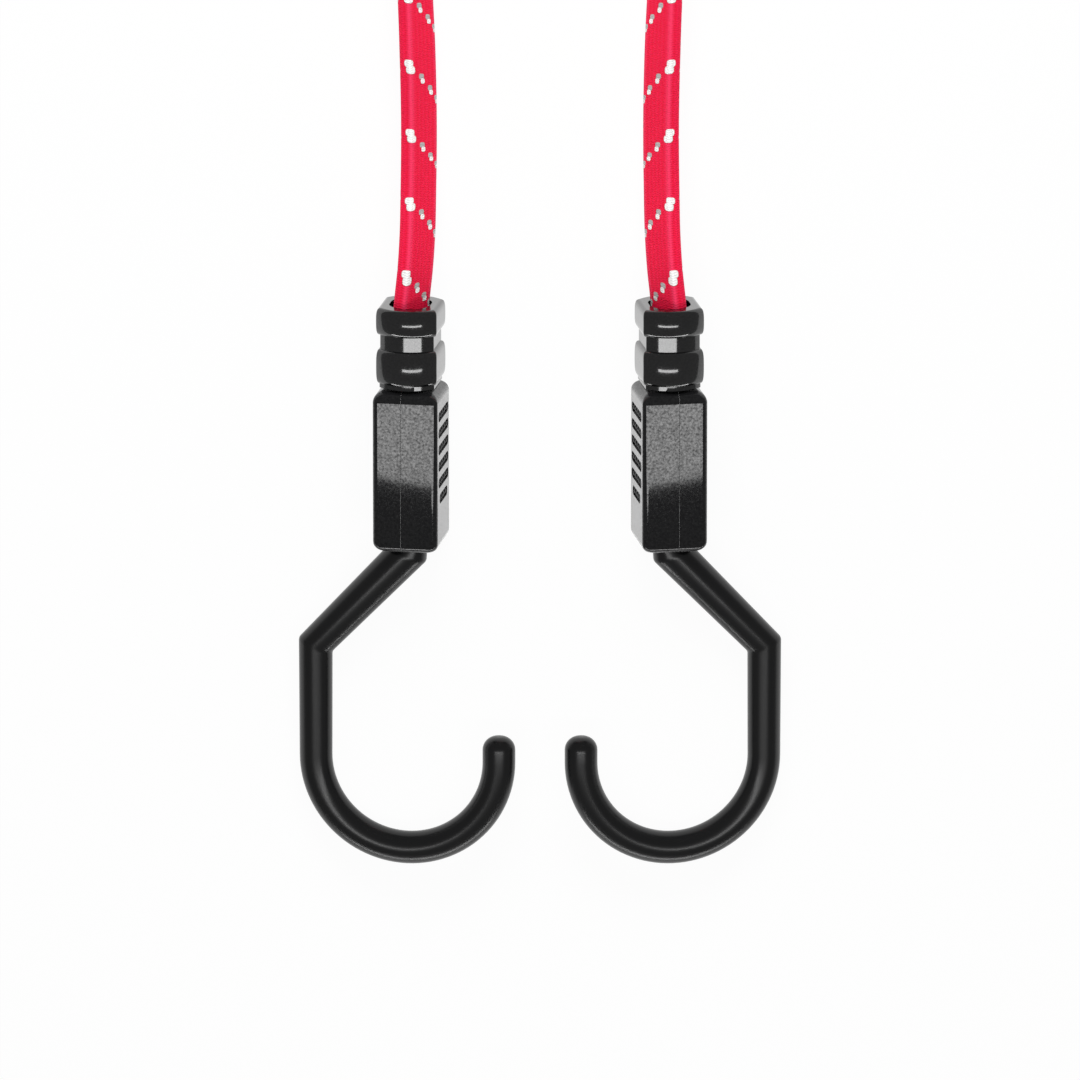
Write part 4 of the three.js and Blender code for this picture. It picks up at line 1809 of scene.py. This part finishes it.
@dataclass
class Studio:
    """The pale floor, the soft lamps and the camera.

    A narrow key lamp is mirrored in the front faces, a broad one lights the strap, and a low one in
    front runs round the hooks' bends.
    """

    distance: float = 4.5
    lens: float = 593.4
    sensor: float = 36.0
    far_clip: float = 20.0
    tilt: float = 13.0
    aim: Point = (0.0, 0.00933, 0.0)
    floor_size: float = 30.0
    floor_drop: float = 0.0002
    floor_colour: str = "#f2f2f2"
    floor_white: float = 0.95
    surround: float = 0.26
    panels: tuple[Panel, ...] = (
        Panel("key_panel", (0.60, 0.075), (0.0, -0.119, 0.6), (0.0, -0.119, 0.0), 1.13),
        Panel("strap_panel", (0.4, 0.3), (0.0, 0.55, 0.4), (0.0, 0.11, 0.0), 3.35, mirrored=False),
        Panel("low_panel", (1.4, 0.1), (0.0, -0.9, 0.11), (0.0, -0.07, 0.01), 4.0),
    )

    def make(self) -> None:
        """Sets up the whole studio."""
        self._camera()
        self._floor()
        self._world()
        for panel in self.panels:
            panel.hang()

    def _camera(self) -> None:
        """Places the camera above the cord, a little tilted, with +Y up in the picture."""
        data = bpy.data.cameras.new("camera")
        data.lens = self.lens
        data.sensor_width = self.sensor
        data.clip_end = self.far_clip
        camera = into_scene("camera", data)
        angle = math.radians(self.tilt)
        back = Vector((0, math.sin(angle), math.cos(angle)))
        camera.location = Vector(self.aim) + back * self.distance
        camera.rotation_euler = (-angle, 0, 0)
        bpy.context.scene.camera = camera

    def _floor(self) -> None:
        """A floor that is near plain white to the camera and in reflections, but keeps shadows."""
        deselect_all()
        bpy.ops.mesh.primitive_plane_add(size=self.floor_size, location=(0, 0, -self.floor_drop))
        floor = started("studio_floor")
        material = bpy.data.materials.new("pale_floor")
        material.use_nodes = True
        tree = material.node_tree
        tree.nodes.clear()
        rays = add_node(tree, "ShaderNodeLightPath").outputs
        seen = add_node(
            tree, "ShaderNodeMath", {0: rays["Is Camera Ray"], 1: rays["Is Glossy Ray"]},
            operation="MAXIMUM",
        )
        seen = add_node(
            tree, "ShaderNodeMath", {0: seen, 1: rays["Is Transmission Ray"]}, operation="MAXIMUM"
        )
        share = add_node(
            tree, "ShaderNodeMath", {0: seen, 1: self.floor_white}, operation="MULTIPLY"
        )
        matte = add_node(tree, "ShaderNodeBsdfDiffuse", {"Color": linear(self.floor_colour)})
        white = add_node(tree, "ShaderNodeEmission", {"Color": (1, 1, 1, 1), "Strength": 1.0})
        mix = add_node(tree, "ShaderNodeMixShader", {0: share, 1: matte, 2: white})
        add_node(tree, "ShaderNodeOutputMaterial", {"Surface": mix})
        floor.data.materials.append(material)

    def _world(self) -> None:
        """A dim even surround that fills the shadows."""
        world = bpy.data.worlds.new("studio_world")
        bpy.context.scene.world = world
        world.use_nodes = True
        tree = world.node_tree
        tree.nodes.clear()
        back = add_node(
            tree, "ShaderNodeBackground", {"Color": (1, 1, 1, 1), "Strength": self.surround}
        )
        add_node(tree, "ShaderNodeOutputWorld", {"Surface": back})


def main() -> None:
    """Loads the frame, lights it, dresses it and reports each piece."""
    logging.basicConfig(level=logging.INFO, format="%(name)s: %(message)s")
    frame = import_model()
    bpy.context.scene.view_settings.view_transform = "Standard"
    Studio().make()
    place = EndPlace()
    housing = Housing()
    pieces = Strap(place).make()
    pieces += End(place, housing, Collar(), HookJacket(), GripInsert(housing)).make()
    dress_hidden_nodes(frame["nodes"])
    for piece in pieces:
        log.info("%s: %d faces", piece.name, len(piece.data.polygons))


if __name__ == "__main__":
    main()
